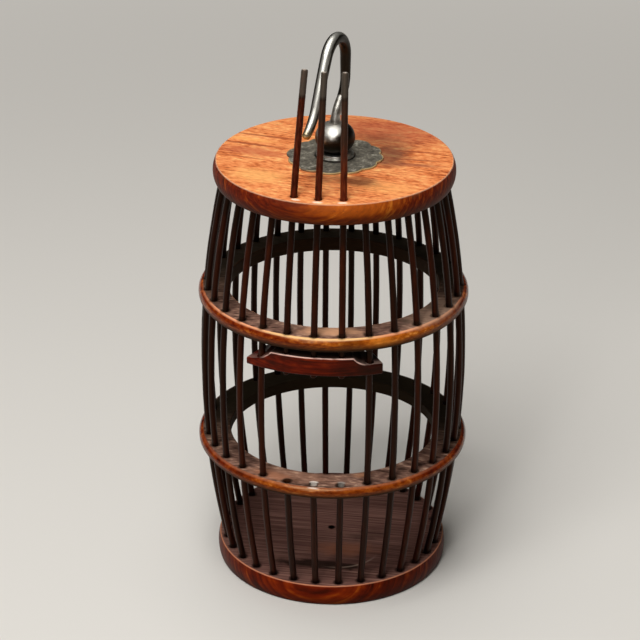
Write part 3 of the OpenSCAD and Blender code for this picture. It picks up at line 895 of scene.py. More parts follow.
# painted highlights along the crest of each nose
CREST_HIGHLIGHTS = [  # middle, reach, most, colour
    ((8, -38, upper_high.z), (76, 56, 4), 0.9, "#ffb082"),
    ((0, -42, lower_high.z), (70, 50, 4), 0.3, "#d8926a"),
    ((3, -55, upper_high.z), (34, 14, 3), 0.9, "#ffd08c"),
]
FLAT_SPOTS = [  # middle, reach, turn, ragged, core, most, colour
    # painted shade: the far half of the lower hoop
    ((0, 34, lower_high.z), (80, 50, 10), 0.0, 0.0, 0.6, 0.75, "#030202"),
    ((46, -26, upper_high.z), (22, 26, 2), 0.0, 0.5, 0.2, 0.5, "#a88c76"),
    ((6, -47, upper_high.z), (17, 6, 1.5), 0.1, 0.5, 0.2, 0.9, "#e2a880"),
    ((-10, -46, lower_high.z), (28, 8, 1.5), -0.1, 0.5, 0.2, 0.3, "#b98568"),
    ((-17, -47.6, lower_high.z), (12, 4.5, 1.5), -0.36, 0.5, 0.2, 0.7, "#b8795a"),
    ((18, -41.6, lower_high.z), (6, 3, 1.5), 0.4, 0.5, 0.2, 0.6, "#b57c58"),
]

cloud = stretched(tree, DUST_CLOUD, seed=11.0, detail=6.0)
grit = stretched(tree, DUST_GRIT, seed=13.0, detail=5.0)
cloud = add(tree, "Mix:FLOAT", [GRIT_SHARE, cloud, grit])
# painted shade: the back of the flats is near black, the front dusty
back_shade = add(tree, "ValToRGB", [cloud], stops=[(0.34, "#060505"), (0.5, "#110e0d"), (0.66, "#25201d")])
dust_and_shade = add(tree, "ValToRGB", [cloud], stops=[
    (0.36, "#2e1c18"), (0.45, "#684a41"), (0.54, "#906b5b"), (0.64, "#d0a88e")])
painted_front_light = near_spot(tree, (14, -58, WAIST_Z), (130, 80, 130), core=0.4)
dust_and_shade = add(tree, "Mix:RGBA", [painted_front_light, back_shade, dust_and_shade])
flat = facing_up(tree, 0.95, 0.99)
colour = add(tree, "Mix:RGBA", [flat, nose, dust_and_shade])
pores = open_pores(tree, 0.0, 0.0, 12.0)
pore_mask = add(tree, "Math:MULTIPLY", [pores, 0.3])
# painted shade on the inner wall and on faces that look down
inner_wall_shade = faded(tree, from_axis(tree)[0], WALL_R, WALL_R + 1.0, 0.95)
inner_wall_shade = add(tree, "Math:SUBTRACT", [inner_wall_shade, flat], use_clamp=True)
shaded_underside = facing_up(tree, 0.2, -0.55)
colour = marked(tree, colour, (pore_mask, "#35120a"), (inner_wall_shade, "#0a0504"), (shaded_underside, "#200801"))
# painted highlight along each crest
for place, reach, most, pale in CREST_HIGHLIGHTS:
    spot = near_spot(tree, place, reach, core=0.5, most=most)
    crest_highlight = add(tree, "Math:MULTIPLY", [spot, facing_up(tree, CREST_FROM, CREST_FULL)])
    colour = marked(tree, colour, (add(tree, "Math:SUBTRACT", [crest_highlight, flat], use_clamp=True), pale))
colour = spotted(tree, colour, FLAT_SPOTS)
# dirt and painted contact shade round each rod
colour = marked(tree, colour, (near_rods(tree, 1.5, 2.7, 0.8), "#1d0d08"))
print("with the flats:", len(tree.nodes), "nodes")

# %% [markdown]
# The lower hoop has three sockets, where the door's feet land. They are painted dark inside as shade, the
# back walls of two are painted pale as light falling into them, and a crack runs along the hoop in front of
# them.

# %% Mark the sockets of the lower hoop
SOCKET_D, SOCKET_DEPTH, SOCKET_FLOOR = ROD_D + 0.8, 2.2, 0.5
SOCKET_MARK = (2.4, 1.4, 2.0)

sockets = {rod_side: door_place(rod_side, lower_high.z) for rod_side in DOOR_LINES}
crack = near_ring(tree, lower_high.x - HOOP_NOSE - 0.2, lower_high.z, 0.15, 0.5, 0.85)
crack_reach = near_spot(tree, (2, -53, lower_high.z), (19, 9, 3), ragged=0.3, core=0.5)
chipped = sockets["middle"] + Vector((0.4, -2.6, 0))
colour = marked(
    tree, colour,
    (near_spot(tree, sockets["left"], (3.4, 2.6, 1.5), ragged=0.5, core=0.4, most=0.8), "#33231d"),
    (add(tree, "Math:MULTIPLY", [crack, crack_reach]), "#22130f"),
    (near_spot(tree, chipped, (3.4, 0.6, 1.0), turn=-0.05, ragged=0.3, core=0.4, most=0.9), "#efdccb"),
)
# painted shade inside each socket
for place in sockets.values():
    inside = near_spot(tree, place - Vector((0, 0, SOCKET_DEPTH)), (2.3, 2.3, 2.1), core=0.8)
    colour = marked(tree, colour, (inside, "#150b08"))
# painted light on the back walls of two sockets
for rod_side, aside, most, pale in (("middle", 0.0, 0.95, "#f4e6d8"), ("right", 0.2, 0.85, "#a89e94")):
    lit_wall = sockets[rod_side] + Vector((aside, 1.8, -0.6))
    lit_wall = near_spot(tree, lit_wall, SOCKET_MARK, ragged=0.3, core=0.5, most=most)
    colour = marked(tree, colour, (lit_wall, pale))
matt = add(tree, "Math:MAXIMUM", [flat, inner_wall_shade])
matt = add(tree, "Math:MAXIMUM", [matt, shaded_underside])
rough = add(tree, "MapRange", {"Value": matt, "To Min": 0.2, "To Max": 0.85})
waxed(hoop_wood, colour, rough, figure, pores, gloss=0.5, tint="#ffd8a0")

# %% [markdown]
# Both hoops are turned alike and bored for the fixed rods. The door's rods slide through the upper one.
# The lower one has blind holes on either side where the door is: the sockets above, and below them the
# short rods.

# %% Turn and drill the hoops
hoop_drills = {
    "upper_hoop": door_drills(upper_low.z - CUT_OVER, upper_high.z + CUT_OVER, SLIDE_D),
    "lower_hoop": [
        ring_drill(lower_low.z - CUT_OVER, lower_high.z - SOCKET_DEPTH - SOCKET_FLOOR, SHORT, -PITCH),
        *door_drills(lower_high.z - SOCKET_DEPTH, lower_high.z + CUT_OVER, SOCKET_D),
    ],
}
for node, width in (("upper_hoop", UPPER_HOOP_W), ("lower_hoop", LOWER_HOOP_W)):
    low, high = box_mm(node)
    outline = hoop_section(high.x, low.z, high.z, width, HOOP_NOSE)
    hoop = turned("turned_" + node, lambda a: outline, BOARD_STEPS, ease=BOARD_EASE)
    through = ring_drill(low.z - CUT_OVER, high.z + CUT_OVER, FIXED, FIRST_FIXED * PITCH)
    cut(hoop, through, *hoop_drills[node])
    finish(hoop, hoop_wood, "cage", "hoop_wood", node)

# %% [markdown]
# ## Base
# The base is the same wood, darker and redder. Its side shows the layers as nested arcs, and is painted
# brighter in front, as the light that falls there, and dark below as shade. Its top edge is a bright line,
# partly rubbed and partly a painted highlight. The floor inside is dull, with fine lines along the fibres,
# dark stains to the right, a dark band in front that is partly stain and partly the lower hoop's painted
# shadow, the pale ring of a food dish, and the hole of the lathe's centre, painted dark inside as shade.
# Dirt and painted contact shade stand round each rod.

# %% Colour the base
BASE_EDGE_R, BASE_TILT = 14, math.radians(68)
FLOOR_LINES = (40, 0.8, 3)
DISH_AT, DISH_R = (4.4, -13.7), 18.8
CENTRE_HOLE_R, CENTRE_HOLE_DEPTH = 1.2, 5
BASE_SPOT_DEEP = 3
BASE_SPOTS = [  # middle, reach, turn, ragged, core, most, colour
    ((8, -17), (19, 8), 0.1, 0.5, 0.2, 0.6, "#a5664a"),
    # dark band in front: partly stain, partly the lower hoop's painted shadow
    ((0, -31), (24, 4.5), 0.0, 0.5, 0.5, 0.9, "#241612"),
    ((14, -6), (8, 4), 0.0, 0.5, 0.2, 0.5, "#2a1f1d"),
    ((19.2, -1.9), (9, 5), 0.0, 0.5, 0.2, 0.4, "#2d1f1b"),
]

base_wood = new_material("waxed rosewood base")
tree = base_wood.node_tree
figure, pores = rosewood(tree, 0.0, BASE_TILT, 14.0, 0.2)
side = add(tree, "ValToRGB", [figure], stops=[
    (0.04, "#3a0a02"), (0.35, "#6b1804"), (0.65, "#902e08"), (0.96, "#b85416")])
shaded_side = add(tree, "ValToRGB", [figure], stops=[
    (0.04, "#2c0601"), (0.35, "#4c0e02"), (0.65, "#661903"), (0.96, "#86340c")])
# painted light: lit and shaded copies of the side's colour, lit in front
painted_front_light = near_spot(tree, (-6, -56, 5), (52, 40, 40), core=0.3)
side = add(tree, "Mix:RGBA", [painted_front_light, shaded_side, side])
lines = stretched(tree, FLOOR_LINES, seed=16.0, detail=4.0)
inside = add(tree, "ValToRGB", [lines], stops=[
    (0.3, "#4c312c"), (0.47, "#704d45"), (0.6, "#8c6559"), (0.75, "#a67d6d")])
flat = facing_up(tree, 0.95, 0.99)
colour = add(tree, "Mix:RGBA", [flat, side, inside])

here = add(tree, "TexCoord", out="Object")
dish = add(tree, "VectorMath:DISTANCE", [here, Vector((*DISH_AT, base_high.z)) * MM])
dish = add(tree, "Math:SUBTRACT", [dish, DISH_R * MM])
dish = faded(tree, add(tree, "Math:ABSOLUTE", [dish]), 0.2, 0.7, 0.5)
dish_side = near_spot(tree, (13, -28, base_high.z), (15, 12, 3))
# painted shade: faces that look down are darkened
shaded_underside = add(tree, "Math:MULTIPLY", [facing_up(tree, 0.0, -0.4), 0.8])
colour = marked(tree, colour, (shaded_underside, "#140300"))
colour = spotted(tree, colour, on_level(BASE_SPOTS, base_high.z, BASE_SPOT_DEEP))
rim_r = board_rim(base_high.x, base_low.z, base_high.z, BASE_EDGE_R)
# rod rings are dirt and painted contact shade, the rim line partly rubbed and partly a painted highlight,
# and the centre hole is painted dark inside as shade
colour = marked(
    tree, colour,
    (add(tree, "Math:MULTIPLY", [dish, dish_side]), "#c9ad98"),
    (near_rods(tree, 1.4, 2.8, 0.9), "#120805"),
    (near_ring(tree, rim_r, base_high.z, 0.1, 0.55, 0.7), "#f0a27a"),
    (near_spot(tree, (0, 0, base_high.z - CENTRE_HOLE_DEPTH), (2.0, 2.0, 12), core=0.8), "#0a0503"),
)
rough = add(tree, "MapRange", {"Value": flat, "To Min": 0.48, "To Max": 0.66})
waxed(base_wood, colour, rough, figure, pores, gloss=0.22, tint="#ffc9a0")

# %% [markdown]
# The base is turned like the lid. All thirty rods stand in blind holes in it, and the lathe's centre has
# left a small hole in the middle.

# %% Turn and drill the base
base = turned("turned_base", lambda a: board_section(base_high.x, base_low.z, base_high.z, BASE_EDGE_R),
              BOARD_STEPS, ease=BOARD_EASE)
cut(base,
    ring_drill(base_high.z - HOLE_DEPTH, base_high.z + CUT_OVER),
    peg_drill(base_high.z - CENTRE_HOLE_DEPTH, base_high.z + CUT_OVER, CENTRE_HOLE_R))
finish(base, base_wood, "cage", "base_wood", "base")

# %% [markdown]
# ## Rods
# The rods are dark wood, scraped round and waxed: streaks run along them, no two are quite the same
# brown, and the dark collar where they enter a board is dirt and painted contact shade. They are painted
# darker as shade on the left, below the lid, most of all just under it, and in the gap above the bar. The
# heads of the door's rods stand free above the lid, mottled by handling, and their last 9 mm, held between
# finger and thumb, have lost their wax and gone grey, with pale end grain. The door's height at rest gives
# the heads' height: its bar hangs just below the upper hoop.

# %% Colour the rods
DOOR_HEADROOM, BAR_H = 2.2, 7.8
DOOR_ROD_L, DOOR_ROD_NIB = 121.6, 1.6
bar_z = upper_low.z - DOOR_HEADROOM - BAR_H
door_lift = math.asin((bar_z - WAIST_Z) / BOW_R)
low_angle = door_lift - DOOR_ROD_NIB / BOW_R
door_foot = WAIST_Z + BOW_R * math.sin(low_angle)
door_head = WAIST_Z + BOW_R * math.sin(low_angle + DOOR_ROD_L / BOW_R)
WORN_HEAD, WORN_EDGE, COLLAR = 9.0, 0.4, 1.4
ROD_STREAKS, ROD_PORES, SHADE_SHARE = (0.9, 0.9, 26), (0.5, 0.5, 4), 0.3

rod_wood = new_material("scraped and waxed dark wood")
tree = rod_wood.node_tree
streaks = stretched(tree, ROD_STREAKS, seed=1.0)
shade = add(tree, "Attribute", attribute_name="rod_shade", out="Fac")
figure = add(tree, "Mix:FLOAT", [SHADE_SHARE, streaks, shade])
colour = add(tree, "ValToRGB", [figure], stops=[
    (0.25, "#1c0704"), (0.45, "#381208"), (0.6, "#58200f"), (0.8, "#763418")])
pores = stretched(tree, ROD_PORES, seed=4.0, detail=2.0)
# dirt and painted contact shade where the rods enter each board
for board in (base_high, lower_high, upper_high):
    collar = near_height(tree, board.z + COLLAR / 2, COLLAR / 2, COLLAR, 0.85)
    colour = marked(tree, colour, (collar, "#0d0504"))
worn_z = door_head - WORN_HEAD
_, height = from_axis(tree)
worn = add(tree, "MapRange", [height, (worn_z - WORN_EDGE) * MM, (worn_z + WORN_EDGE) * MM, 0.0, 0.8])
end_grain = add(tree, "Math:MULTIPLY", [worn, facing_up(tree, 0.6, 0.9)])
# painted shade on everything below the lid
below_lid_shade = add(tree, "MapRange", [height, lid_low.z * MM, lid_high.z * MM, 0.7, 0.0])
gap_z = bar_z + BAR_H + DOOR_HEADROOM / 2
colour = marked(
    tree, colour,
    # painted shade: this row on the left, the next two below and just under the lid
    (near_spot(tree, (-58, 0, WAIST_Z), (30, 60, 130), core=0.5, most=0.7), "#0a0302"),
    (below_lid_shade, "#080302"),
    (near_height(tree, lid_low.z - 3, 3, 11, 0.75), "#040201"),
    (near_spot(tree, (6, -34, worn_z), (14, 30, 34), ragged=0.3, core=0.4, most=0.85), "#2c231b"),
    # painted shade of the upper hoop in the gap above the bar
    (near_spot(tree, (0, -53, gap_z), (36, 14, 4.5), core=0.65, most=0.9), "#080302"),
    (worn, "#4a443b"),
    (near_height(tree, worn_z, 0.3, 1.2, 0.6), "#17110d"),
    (end_grain, "#c9bdb0"),
)
waxed(rod_wood, colour, 0.4, streaks, pores, gloss=0.32, tint="#d09a78")

# %% [markdown]
# One call of the rods' tree sets all the fixed rods, another the short rods under the door. The three
# door rods are pieces of their own, since each slides on its own line, and their heads are rounded by
# hand.

# %% Set the rods
END_GAP = 0.3
CAGE_UNEVEN, DOOR_UNEVEN, HEAD_ROUNDING = 0.34, 0.22, 0.5
foot = base_high.z - HOLE_DEPTH + END_GAP
rods = bowed_rods("cage_rods", foot, lid_low.z + HOLE_DEPTH - END_GAP, FIXED, FIRST_FIXED * PITCH,
                  uneven=CAGE_UNEVEN, wood=rod_wood)
finish(rods, rod_wood, "cage", "rod_wood", *[n for n in frame["nodes"] if n.startswith("rod_")])
short_head = lower_high.z - SOCKET_DEPTH - SOCKET_FLOOR - END_GAP
short = bowed_rods("short_rods", foot, short_head, SHORT, -PITCH, uneven=CAGE_UNEVEN, wood=rod_wood)
finish(short, rod_wood, "cage", "rod_wood", *[n for n in frame["nodes"] if n.startswith("short_rod_")])
for rod_side, body in (("left", "door_left"), ("middle", "door"), ("right", "door_right")):
    lean, start = DOOR_LINES[rod_side]
    head = box_mm("door_rod_" + rod_side)[1].z
    stick = bowed_rods(rod_side + "_door_rod", door_foot, head, 1, lean, start,
                       rounding=HEAD_ROUNDING, uneven=DOOR_UNEVEN, wood=rod_wood)
    finish(stick, rod_wood, body, "rod_wood", "door_rod_" + rod_side)

# %% [markdown]
# ## Door bar
# The bar is carved from red rosewood. The front arris of its top is worn to bare pink wood, which an
# attribute measures: how far each point lies from that edge. Dust lies on the tails, the middle of the
# top is painted black as the hoop's shade, and the right end is darker.

# %% Colour the bar
BAR_TILT, BAR_CHIPS = math.radians(20), (6, 2, 2)

bar_wood = new_material("carved and waxed rosewood")
tree = bar_wood.node_tree
figure, pores = rosewood(tree, 0.0, BAR_TILT, 21.0)
colour = add(tree, "ValToRGB", [figure], stops=[
    (0.04, "#240501"), (0.35, "#440c03"), (0.65, "#661605"), (0.96, "#8a2c0c")])
arris = add(tree, "Attribute", attribute_name="from_arris", out="Fac")
chips = stretched(tree, BAR_CHIPS, seed=3.0, detail=4.0)
chips = add(tree, "MapRange", [chips, 0.3, 0.48])
worn = add(tree, "Math:MULTIPLY", [faded(tree, arris, 0.2, 0.62), chips])
rubbed = near_spot(tree, (0, -54, bar_z + BAR_H), (26, 14, 10), core=0.6)
worn = add(tree, "Math:MULTIPLY", [worn, rubbed])
on_top = facing_up(tree, 0.8, 0.97)
dusty = add(tree, "Math:MULTIPLY", [on_top, faded(tree, arris, 1.5, 5.0, 0.6)])
darker_end = near_spot(tree, (24, -46, bar_z + BAR_H / 2), (26, 20, 20), core=0.3, most=0.8)
# painted shade: the hoop's shadow on the middle of the top
hoop_shade = near_spot(tree, (0, -48, bar_z + BAR_H), (25, 14, 8), core=0.75, most=0.9)
hoop_shade = add(tree, "Math:MULTIPLY", [on_top, hoop_shade])
colour = marked(tree, colour, (darker_end, "#150302"), (dusty, "#8f776b"), (hoop_shade, "#0b0403"),
                (worn, "#ffd4c2"))
waxed(bar_wood, colour, 0.36, figure, pores, gloss=0.25, tint="#ffc0a0")


# %% [markdown]
# The bar follows the curve of the barrel: a high middle, and at each end a hollow shoulder down to a low
# tail that rides on a fixed rod. A box bent by a modifier would be of one height, so the bar's rounded
# section is carried along the arc with its own height at each step. It is carved and bored at the waist,
# where the rods stand upright, and then swung up along the bow to where the door is at rest. The hole for
# a fixed rod is wider, and set in by half of what that rod leans in over the slide, so that the bar
# clears it all the way.

# %% Carve the bar
BAR_LAND, BAR_W = 2.4, 12.0
BAR_ENDS = {
    "left": {"tail": 5.4, "brow": 6.0, "height": 3.0, "scoop": 14.5},
    "right": {"tail": 4.6, "brow": 4.7, "height": 4.7, "scoop": 8.0},
}
BAR_STEPS, BAR_EASE, CORNER_STEPS, BAR_END_EASE = 150, 0.7, 4, 0.5
GUIDE_D = ROD_D + 1.0
guide = FIRST_FIXED * PITCH
bar_start = -guide - BAR_ENDS["left"]["tail"] / WAIST_R
bar_end = guide + BAR_ENDS["right"]["tail"] / WAIST_R


def bar_top(x):
    """Height of the bar's top above its underside at a distance from its middle."""
    end = BAR_ENDS["left" if x < 0 else "right"]
    low, scoop = end["height"], end["scoop"]
    run = math.sqrt(scoop ** 2 - (scoop - (BAR_H - low)) ** 2)
    past = WAIST_R * math.sin(PITCH) + end["brow"] + run - abs(x)
    if past > run:
        return BAR_H
    if past < 0:
        return low
    return low + scoop - math.sqrt(scoop ** 2 - past ** 2)


def from_arris(place):
    """Distance of a point from the front edge of the bar's top, in metres, as masks take it."""
    out = math.hypot(place.x, place.y) - WAIST_R - BAR_LAND
    return math.hypot(out, place.z - WAIST_Z - bar_top(place.x)) * MM


bar_rings = []
front, inner = BAR_LAND - BAR_EASE, BAR_LAND - BAR_W + BAR_EASE
for k in range(BAR_STEPS + 1):
    a = bar_start + (bar_end - bar_start) * k / BAR_STEPS
    front_top, inner_top = (bar_top((WAIST_R + r) * math.sin(a)) - BAR_EASE for r in (front, inner))
    corners = [((front, BAR_EASE), -90), ((front, front_top), 0),
               ((inner, inner_top), 90), ((inner, BAR_EASE), 180)]
    outline = []
    for middle, start in corners:
        outline += arc(middle, BAR_EASE, start, start + 90, CORNER_STEPS)
    bar_rings.append([((WAIST_R + r) * math.sin(a), -(WAIST_R + r) * math.cos(a), WAIST_Z + z)
                      for r, z in outline])
bar = skin("carved_door_bar", bar_rings, closed=False, ease=BAR_END_EASE)

guide_draw = (2 * WAIST_R - rod_line(lower_high.z) - rod_line(bar_z)) * math.sin(guide) / 4
span = (WAIST_Z - CUT_OVER, WAIST_Z + BAR_H + CUT_OVER)
guides = [bowed_rods("drill", *span, 1, s * guide, (-s * guide_draw, 0, 0), GUIDE_D) for s in (-1, 1)]
cut(bar, *door_drills(*span, SLIDE_D), *guides)
note(bar, "from_arris", from_arris)
swing = Matrix.Rotation(-door_lift, 4, "X")
bar.data.transform(Matrix.Translation(door_centre * MM) @ swing @ Matrix.Translation(-door_centre * MM))
finish(bar, bar_wood, "door", "bar_wood", "door_bar")

# %% [markdown]
# ## Hook
# The hook is white copper, an old silvery alloy. An attribute tells how dark each point is: the crook has
# kept its dark tarnish, and along the limbs the outer side is bright and the inner side dark, partly as
# rubbing and tarnish and partly as painted reflection of a dark room. The tip has worn through to a
# brassy yellow.

# %% Colour the hook
HOOK_CLOUD, CLOUD_SHARE = (2.5, 2.5, 2.5), 0.9

hook_metal = new_material("polished white copper")
tree = hook_metal.node_tree
cloud = stretched(tree, HOOK_CLOUD, seed=5.0, detail=5.0)
tarnish_and_reflection = add(tree, "Attribute", attribute_name="tarnish_and_reflection", out="Fac")
patchy = add(tree, "Math:MULTIPLY_ADD", [cloud, CLOUD_SHARE, tarnish_and_reflection])
dark = add(tree, "MapRange", [patchy, 0.4, 1.1])
colour = add(tree, "ValToRGB", [dark], stops=[
    (0.03, "#d6d3ca"), (0.3, "#9c978e"), (0.6, "#4a443c"), (0.9, "#2a241d")])
brassy = add(tree, "Attribute", attribute_name="worn_tip", out="Fac")
colour = marked(tree, colour, (brassy, "#b59a5c"))
rough = add(tree, "MapRange", {"Value": cloud, "To Min": 0.34, "To Max": 0.5})
close(hook_metal, "BsdfPrincipled", {"Base Color": colour, "Metallic": 1.0, "Roughness": rough})

# %% [markdown]
# The hook could be a Bezier curve, but its handles say nothing of radius or length. A smith bends a rod a
# stretch at a time, and so does this: the hook's line is a row of straight runs and bends in one plane,
# each a radius and an angle, or a length and no angle. It is followed in small steps that keep the length
# so far, the place and the heading.

# %% Follow the hook's line
ball_low, ball_high = box_mm("hook_ball")
HOOK_TURN = math.radians(74)
HOOK_RUNS = [(8.8, 51), (2.8, 0), (10.8, -51), (8.5, 0), (9.9, -152), (19.6, 0), (21, 34), (1.6, 0)]
NECK_RUN, CROOK_RUN = 1, 4
HOOK_STEP, HOOK_FOOT = 0.4, 1.2

hook_line = [(-HOOK_FOOT, 0.0, ball_high.z - HOOK_FOOT, 0.0), (0.0, 0.0, ball_high.z, 0.0)]
run_ends = []
for size, bend in HOOK_RUNS:
    run = size * abs(math.radians(bend)) if bend else size
    steps = math.ceil(run / HOOK_STEP)
    stride, veer = run / steps, math.radians(bend) / steps
    for _ in range(steps):
        s, u, z, heading = hook_line[-1]
        middle = heading + veer / 2
        hook_line.append((s + stride, u + stride * math.sin(middle), z + stride * math.cos(middle),
                          heading + veer))
    run_ends.append(hook_line[-1][0])
hook_l = hook_line[-1][0]
crook_l = (run_ends[CROOK_RUN - 1] + run_ends[CROOK_RUN]) / 2
print("hook is %.1f mm long, its crook at %.1f" % (hook_l, crook_l))

# %% [markdown]
# The hook was forged thick at the crook and thin at both ends, with a flare where it meets the ball. So a
# circle of its own thickness is set at each step of the line. Tarnish and painted reflection are worked out
# in the same loop, from how far along the hook a point lies and which way it faces.

# %% Forge the hook
NECK_D, CROOK_D, TIP_D, TIP_TAPER = 3.4, 4.8, 3.3, 2.2
FLARE_D, FLARE_L = 1.9, 1.6
BLUNT_L, BLUNT_LEAST = 0.9, 0.12
HOOK_SIDES = 28
CROOK_TARNISH, CROOK_TARNISH_L = 0.5, 7.0
NECK_TARNISH, SIDE_TARNISH_AND_REFLECTION, RUBBED_OFF_AND_LIT, RUBBED_AND_LIT_AT = 0.1, 3.2, 4.1, math.radians(-17)
TIP_WORN, TIP_WORN_L = 0.8, 6.0


def hook_radius(s):
    """Half thickness of the hook along its line, with a flare at the ball and a blunt tip."""
    if s < crook_l:
        d = NECK_D + (CROOK_D - NECK_D) * s / crook_l
    else:
        d = CROOK_D + (TIP_D - CROOK_D) * ((s - crook_l) / (hook_l - crook_l)) ** TIP_TAPER
    flare = FLARE_D * math.exp(-max(s, 0) / FLARE_L)
    blunt = min(1.0, math.sqrt(max(BLUNT_LEAST, (hook_l - s) / BLUNT_L)))
    return (d + flare) / 2 * blunt


hook_rings, hook_tarnish_and_reflection, hook_tip = [], [], []
neck_end, shoulder_end = run_ends[NECK_RUN], run_ends[NECK_RUN + 1]
sides = [math.tau * k / HOOK_SIDES for k in range(HOOK_SIDES)]
hook_turn, hook_foot = Matrix.Rotation(HOOK_TURN, 3, "Z"), Vector((0, PIN_Y, 0))
for s, u, z, heading in hook_line:
    r, out, up = hook_radius(s), math.cos(heading), math.sin(heading)
    ring = [(u + r * math.cos(a) * out, r * math.sin(a), z - r * math.cos(a) * up) for a in sides]
    hook_rings.append([hook_turn @ Vector(point) + hook_foot for point in ring])
    at_crook = CROOK_TARNISH * math.exp(-((s - crook_l) / CROOK_TARNISH_L) ** 2)
    past_neck = min(1.0, max(0.0, (s - neck_end) / (shoulder_end - neck_end)))
    for a in sides:
        # painted reflection as well as tarnish: bright on the outer side, dark on the inner
        limb = SIDE_TARNISH_AND_REFLECTION - RUBBED_OFF_AND_LIT * math.cos(a - RUBBED_AND_LIT_AT)
        hook_tarnish_and_reflection.append(at_crook + NECK_TARNISH + (limb - NECK_TARNISH) * past_neck)
    hook_tip += [max(0.0, TIP_WORN - (hook_l - s) / TIP_WORN_L)] * HOOK_SIDES
hook = skin("swan_hook", hook_rings, closed=False)
note(hook, "tarnish_and_reflection", hook_tarnish_and_reflection)
note(hook, "worn_tip", hook_tip)
finish(hook, hook_metal, "hook", "hook_metal", "hook")

# %% [markdown]
# ## Ball and washer
# Below the hook sit a flattened ball and a stepped washer, both turned. The ball is bright up and to the
# front, towards the main lamp, and dark on the far side and below: partly handling and tarnish, partly
# painted light and shade. The pin and the washer under the lid keep their solids and take the same metal.

# %% Turn the ball and the washer
BALL_STEPS, BALL_EDGE_STEPS, WASHER_STEPS = 72, 40, 96
BALL_TARNISH_AND_SHADE, BALL_RUBBED_AND_LIT, BALL_LIT_WAY = 1.55, 1.95, Vector((-0.25, -0.5, 0.83))
FLANGE_T, WASHER_STEP, WASHER_EASE, WASHER_TARNISH = 0.7, 1.3, 0.18, 0.05

round_r = (ball_high.z - ball_low.z) / 2
ball_edge = arc((ball_high.x - round_r, ball_low.z + round_r), round_r, -90, 90, BALL_EDGE_STEPS)
ball_outline = [(0, ball_low.z), *ball_edge, (0, ball_high.z)]
ball = turned("turned_ball", lambda a: ball_outline, BALL_STEPS, (0, PIN_Y))
ball_middle = Vector((0, PIN_Y, ball_low.z + round_r))
# painted light and shade as well as tarnish: bright towards the front lamp
note(ball, "tarnish_and_reflection",
     lambda place: BALL_TARNISH_AND_SHADE - BALL_RUBBED_AND_LIT * (place - ball_middle).normalized().dot(BALL_LIT_WAY))
finish(ball, hook_metal, "hook", "hook_metal", "hook_ball")

washer_low, washer_high = box_mm("swivel_washer")
neck_r, step_z = washer_high.x - WASHER_STEP, washer_low.z + FLANGE_T
washer_outline = [
    (PIN_HOLE_R, washer_low.z), (washer_high.x, washer_low.z), (washer_high.x, step_z),
    (neck_r, step_z), (neck_r, washer_high.z), (PIN_HOLE_R, washer_high.z),
]
washer = turned("stepped_washer", lambda a: washer_outline, WASHER_STEPS, (0, PIN_Y), ease=WASHER_EASE)
note(washer, "tarnish_and_reflection", lambda place: WASHER_TARNISH)
finish(washer, hook_metal, "hook", "hook_metal", "swivel_washer")

for node in ("swivel_pin", "pin_washer"):
    frame["nodes"][node].data.materials.clear()
    frame["nodes"][node].data.materials.append(hook_metal)
print("plain pin and washer take", hook_metal.name)

# %% [markdown]
# ## Plate
# The plate is brass sheet that has gone dark grey-green, mottled and speckled, with the bare brass rubbed
# through in places along its edge, most of all in front. A dark ring round the washer is its painted shadow.

# %% Colour the plate
PLATE_CLOUD, PLATE_SPECKS, PLATE_RUBS = (3, 3, 3), (1.0, 1.0, 1.0), (7, 7, 7)
SPECK_SHARE, PLATE_RELIEF, PLATE_DEPTH = 0.45, 0.4, 0.08

plate_metal = new_material("patinated brass")
tree = plate_metal.node_tree
cloud = stretched(tree, PLATE_CLOUD, seed=8.0, detail=6.0)
specks = stretched(tree, PLATE_SPECKS, seed=9.0, detail=2.0)
cloud = add(tree, "Mix:FLOAT", [SPECK_SHARE, cloud, specks])
colour = add(tree, "ValToRGB", [cloud], stops=[
    (0.33, "#413e35"), (0.46, "#6f695d"), (0.56, "#8c8576"), (0.66, "#cdc6b4")])
edge_gap = add(tree, "Attribute", attribute_name="from_edge", out="Fac")
rubbed = stretched(tree, PLATE_RUBS, seed=12.0, detail=2.0)
rubbed = add(tree, "MapRange", [rubbed, 0.42, 0.56])
front_edge = near_spot(tree, (9, PIN_Y - 14, washer_low.z), (16, 12, 4), core=0.5)
rubbed = add(tree, "Math:MAXIMUM", [rubbed, front_edge])
rubbed = add(tree, "Math:MULTIPLY", [faded(tree, edge_gap, 0.25, 0.75, 0.95), rubbed])
here = add(tree, "TexCoord", out="Object")
from_pin = add(tree, "VectorMath:DISTANCE", [here, Vector((0, PIN_Y, washer_low.z)) * MM])
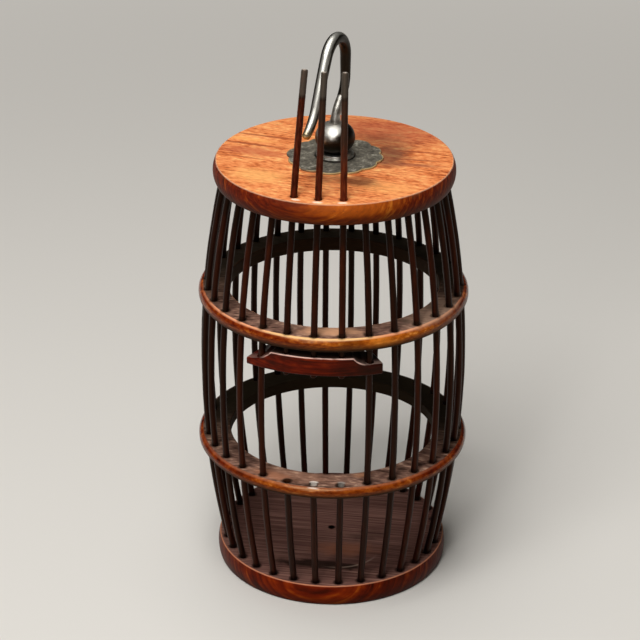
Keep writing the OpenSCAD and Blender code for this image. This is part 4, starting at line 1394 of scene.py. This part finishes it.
# painted shadow of the washer's edge on the plate
washer_shadow = faded(tree, from_pin, washer_high.x + 0.2, washer_high.x + 0.9)
colour = marked(tree, colour, (rubbed, "#cbb27d"), (washer_shadow, "#100e0b"))
rough = add(tree, "MapRange", {"Value": cloud, "To Min": 0.62, "To Max": 0.4})
bump = add(tree, "Bump", {"Height": cloud, "Strength": PLATE_RELIEF, "Distance": PLATE_DEPTH * MM})
close(plate_metal, "BsdfPrincipled",
      {"Base Color": colour, "Metallic": 0.5, "Roughness": rough, "Normal": bump})

# %% [markdown]
# The plate was cut in twelve lobes. Twelve discs could be joined by a Boolean, but the lobes are circles,
# so the edge's distance at any angle has a formula, and the plate can be made like a turned piece whose
# section changes with the angle. The same formula tells each point how far it is from the edge.

# %% Cut the plate
plate_low, plate_high = box_mm("hook_plate")
PLATE_LOBES, LOBE_R, PLATE_STEPS = 12, 6.6, 360
PLATE_BEVEL, PLATE_SLOPE, PLATE_EASE = 0.1, 0.5, 0.12


def plate_edge(angle):
    """Distance of the lobed plate's edge from its middle at an angle."""
    lobe = math.tau / PLATE_LOBES
    off = (angle + lobe / 2) % lobe - lobe / 2
    lobe_middle = plate_high.x - LOBE_R
    return lobe_middle * math.cos(off) + math.sqrt(LOBE_R ** 2 - (lobe_middle * math.sin(off)) ** 2)


def plate_section(angle):
    """Half section of the plate: flat, bevelled a little at its lobed edge."""
    edge, low, high = plate_edge(angle), plate_low.z, plate_high.z
    rim = [(edge, low), (edge, high - PLATE_BEVEL), (edge - PLATE_SLOPE, high)]
    return [(PIN_HOLE_R, low), *rim, (PIN_HOLE_R, high)]


def from_edge(place):
    """Distance of a point inside the plate's edge, in metres, as masks take it."""
    angle = math.atan2(place.x, PIN_Y - place.y)
    return (plate_edge(angle) - math.hypot(place.x, place.y - PIN_Y)) * MM


plate = turned("lobed_plate", plate_section, PLATE_STEPS, (0, PIN_Y), ease=PLATE_EASE)
note(plate, "from_edge", from_edge)
finish(plate, plate_metal, "cage", "plate_metal", "hook_plate")
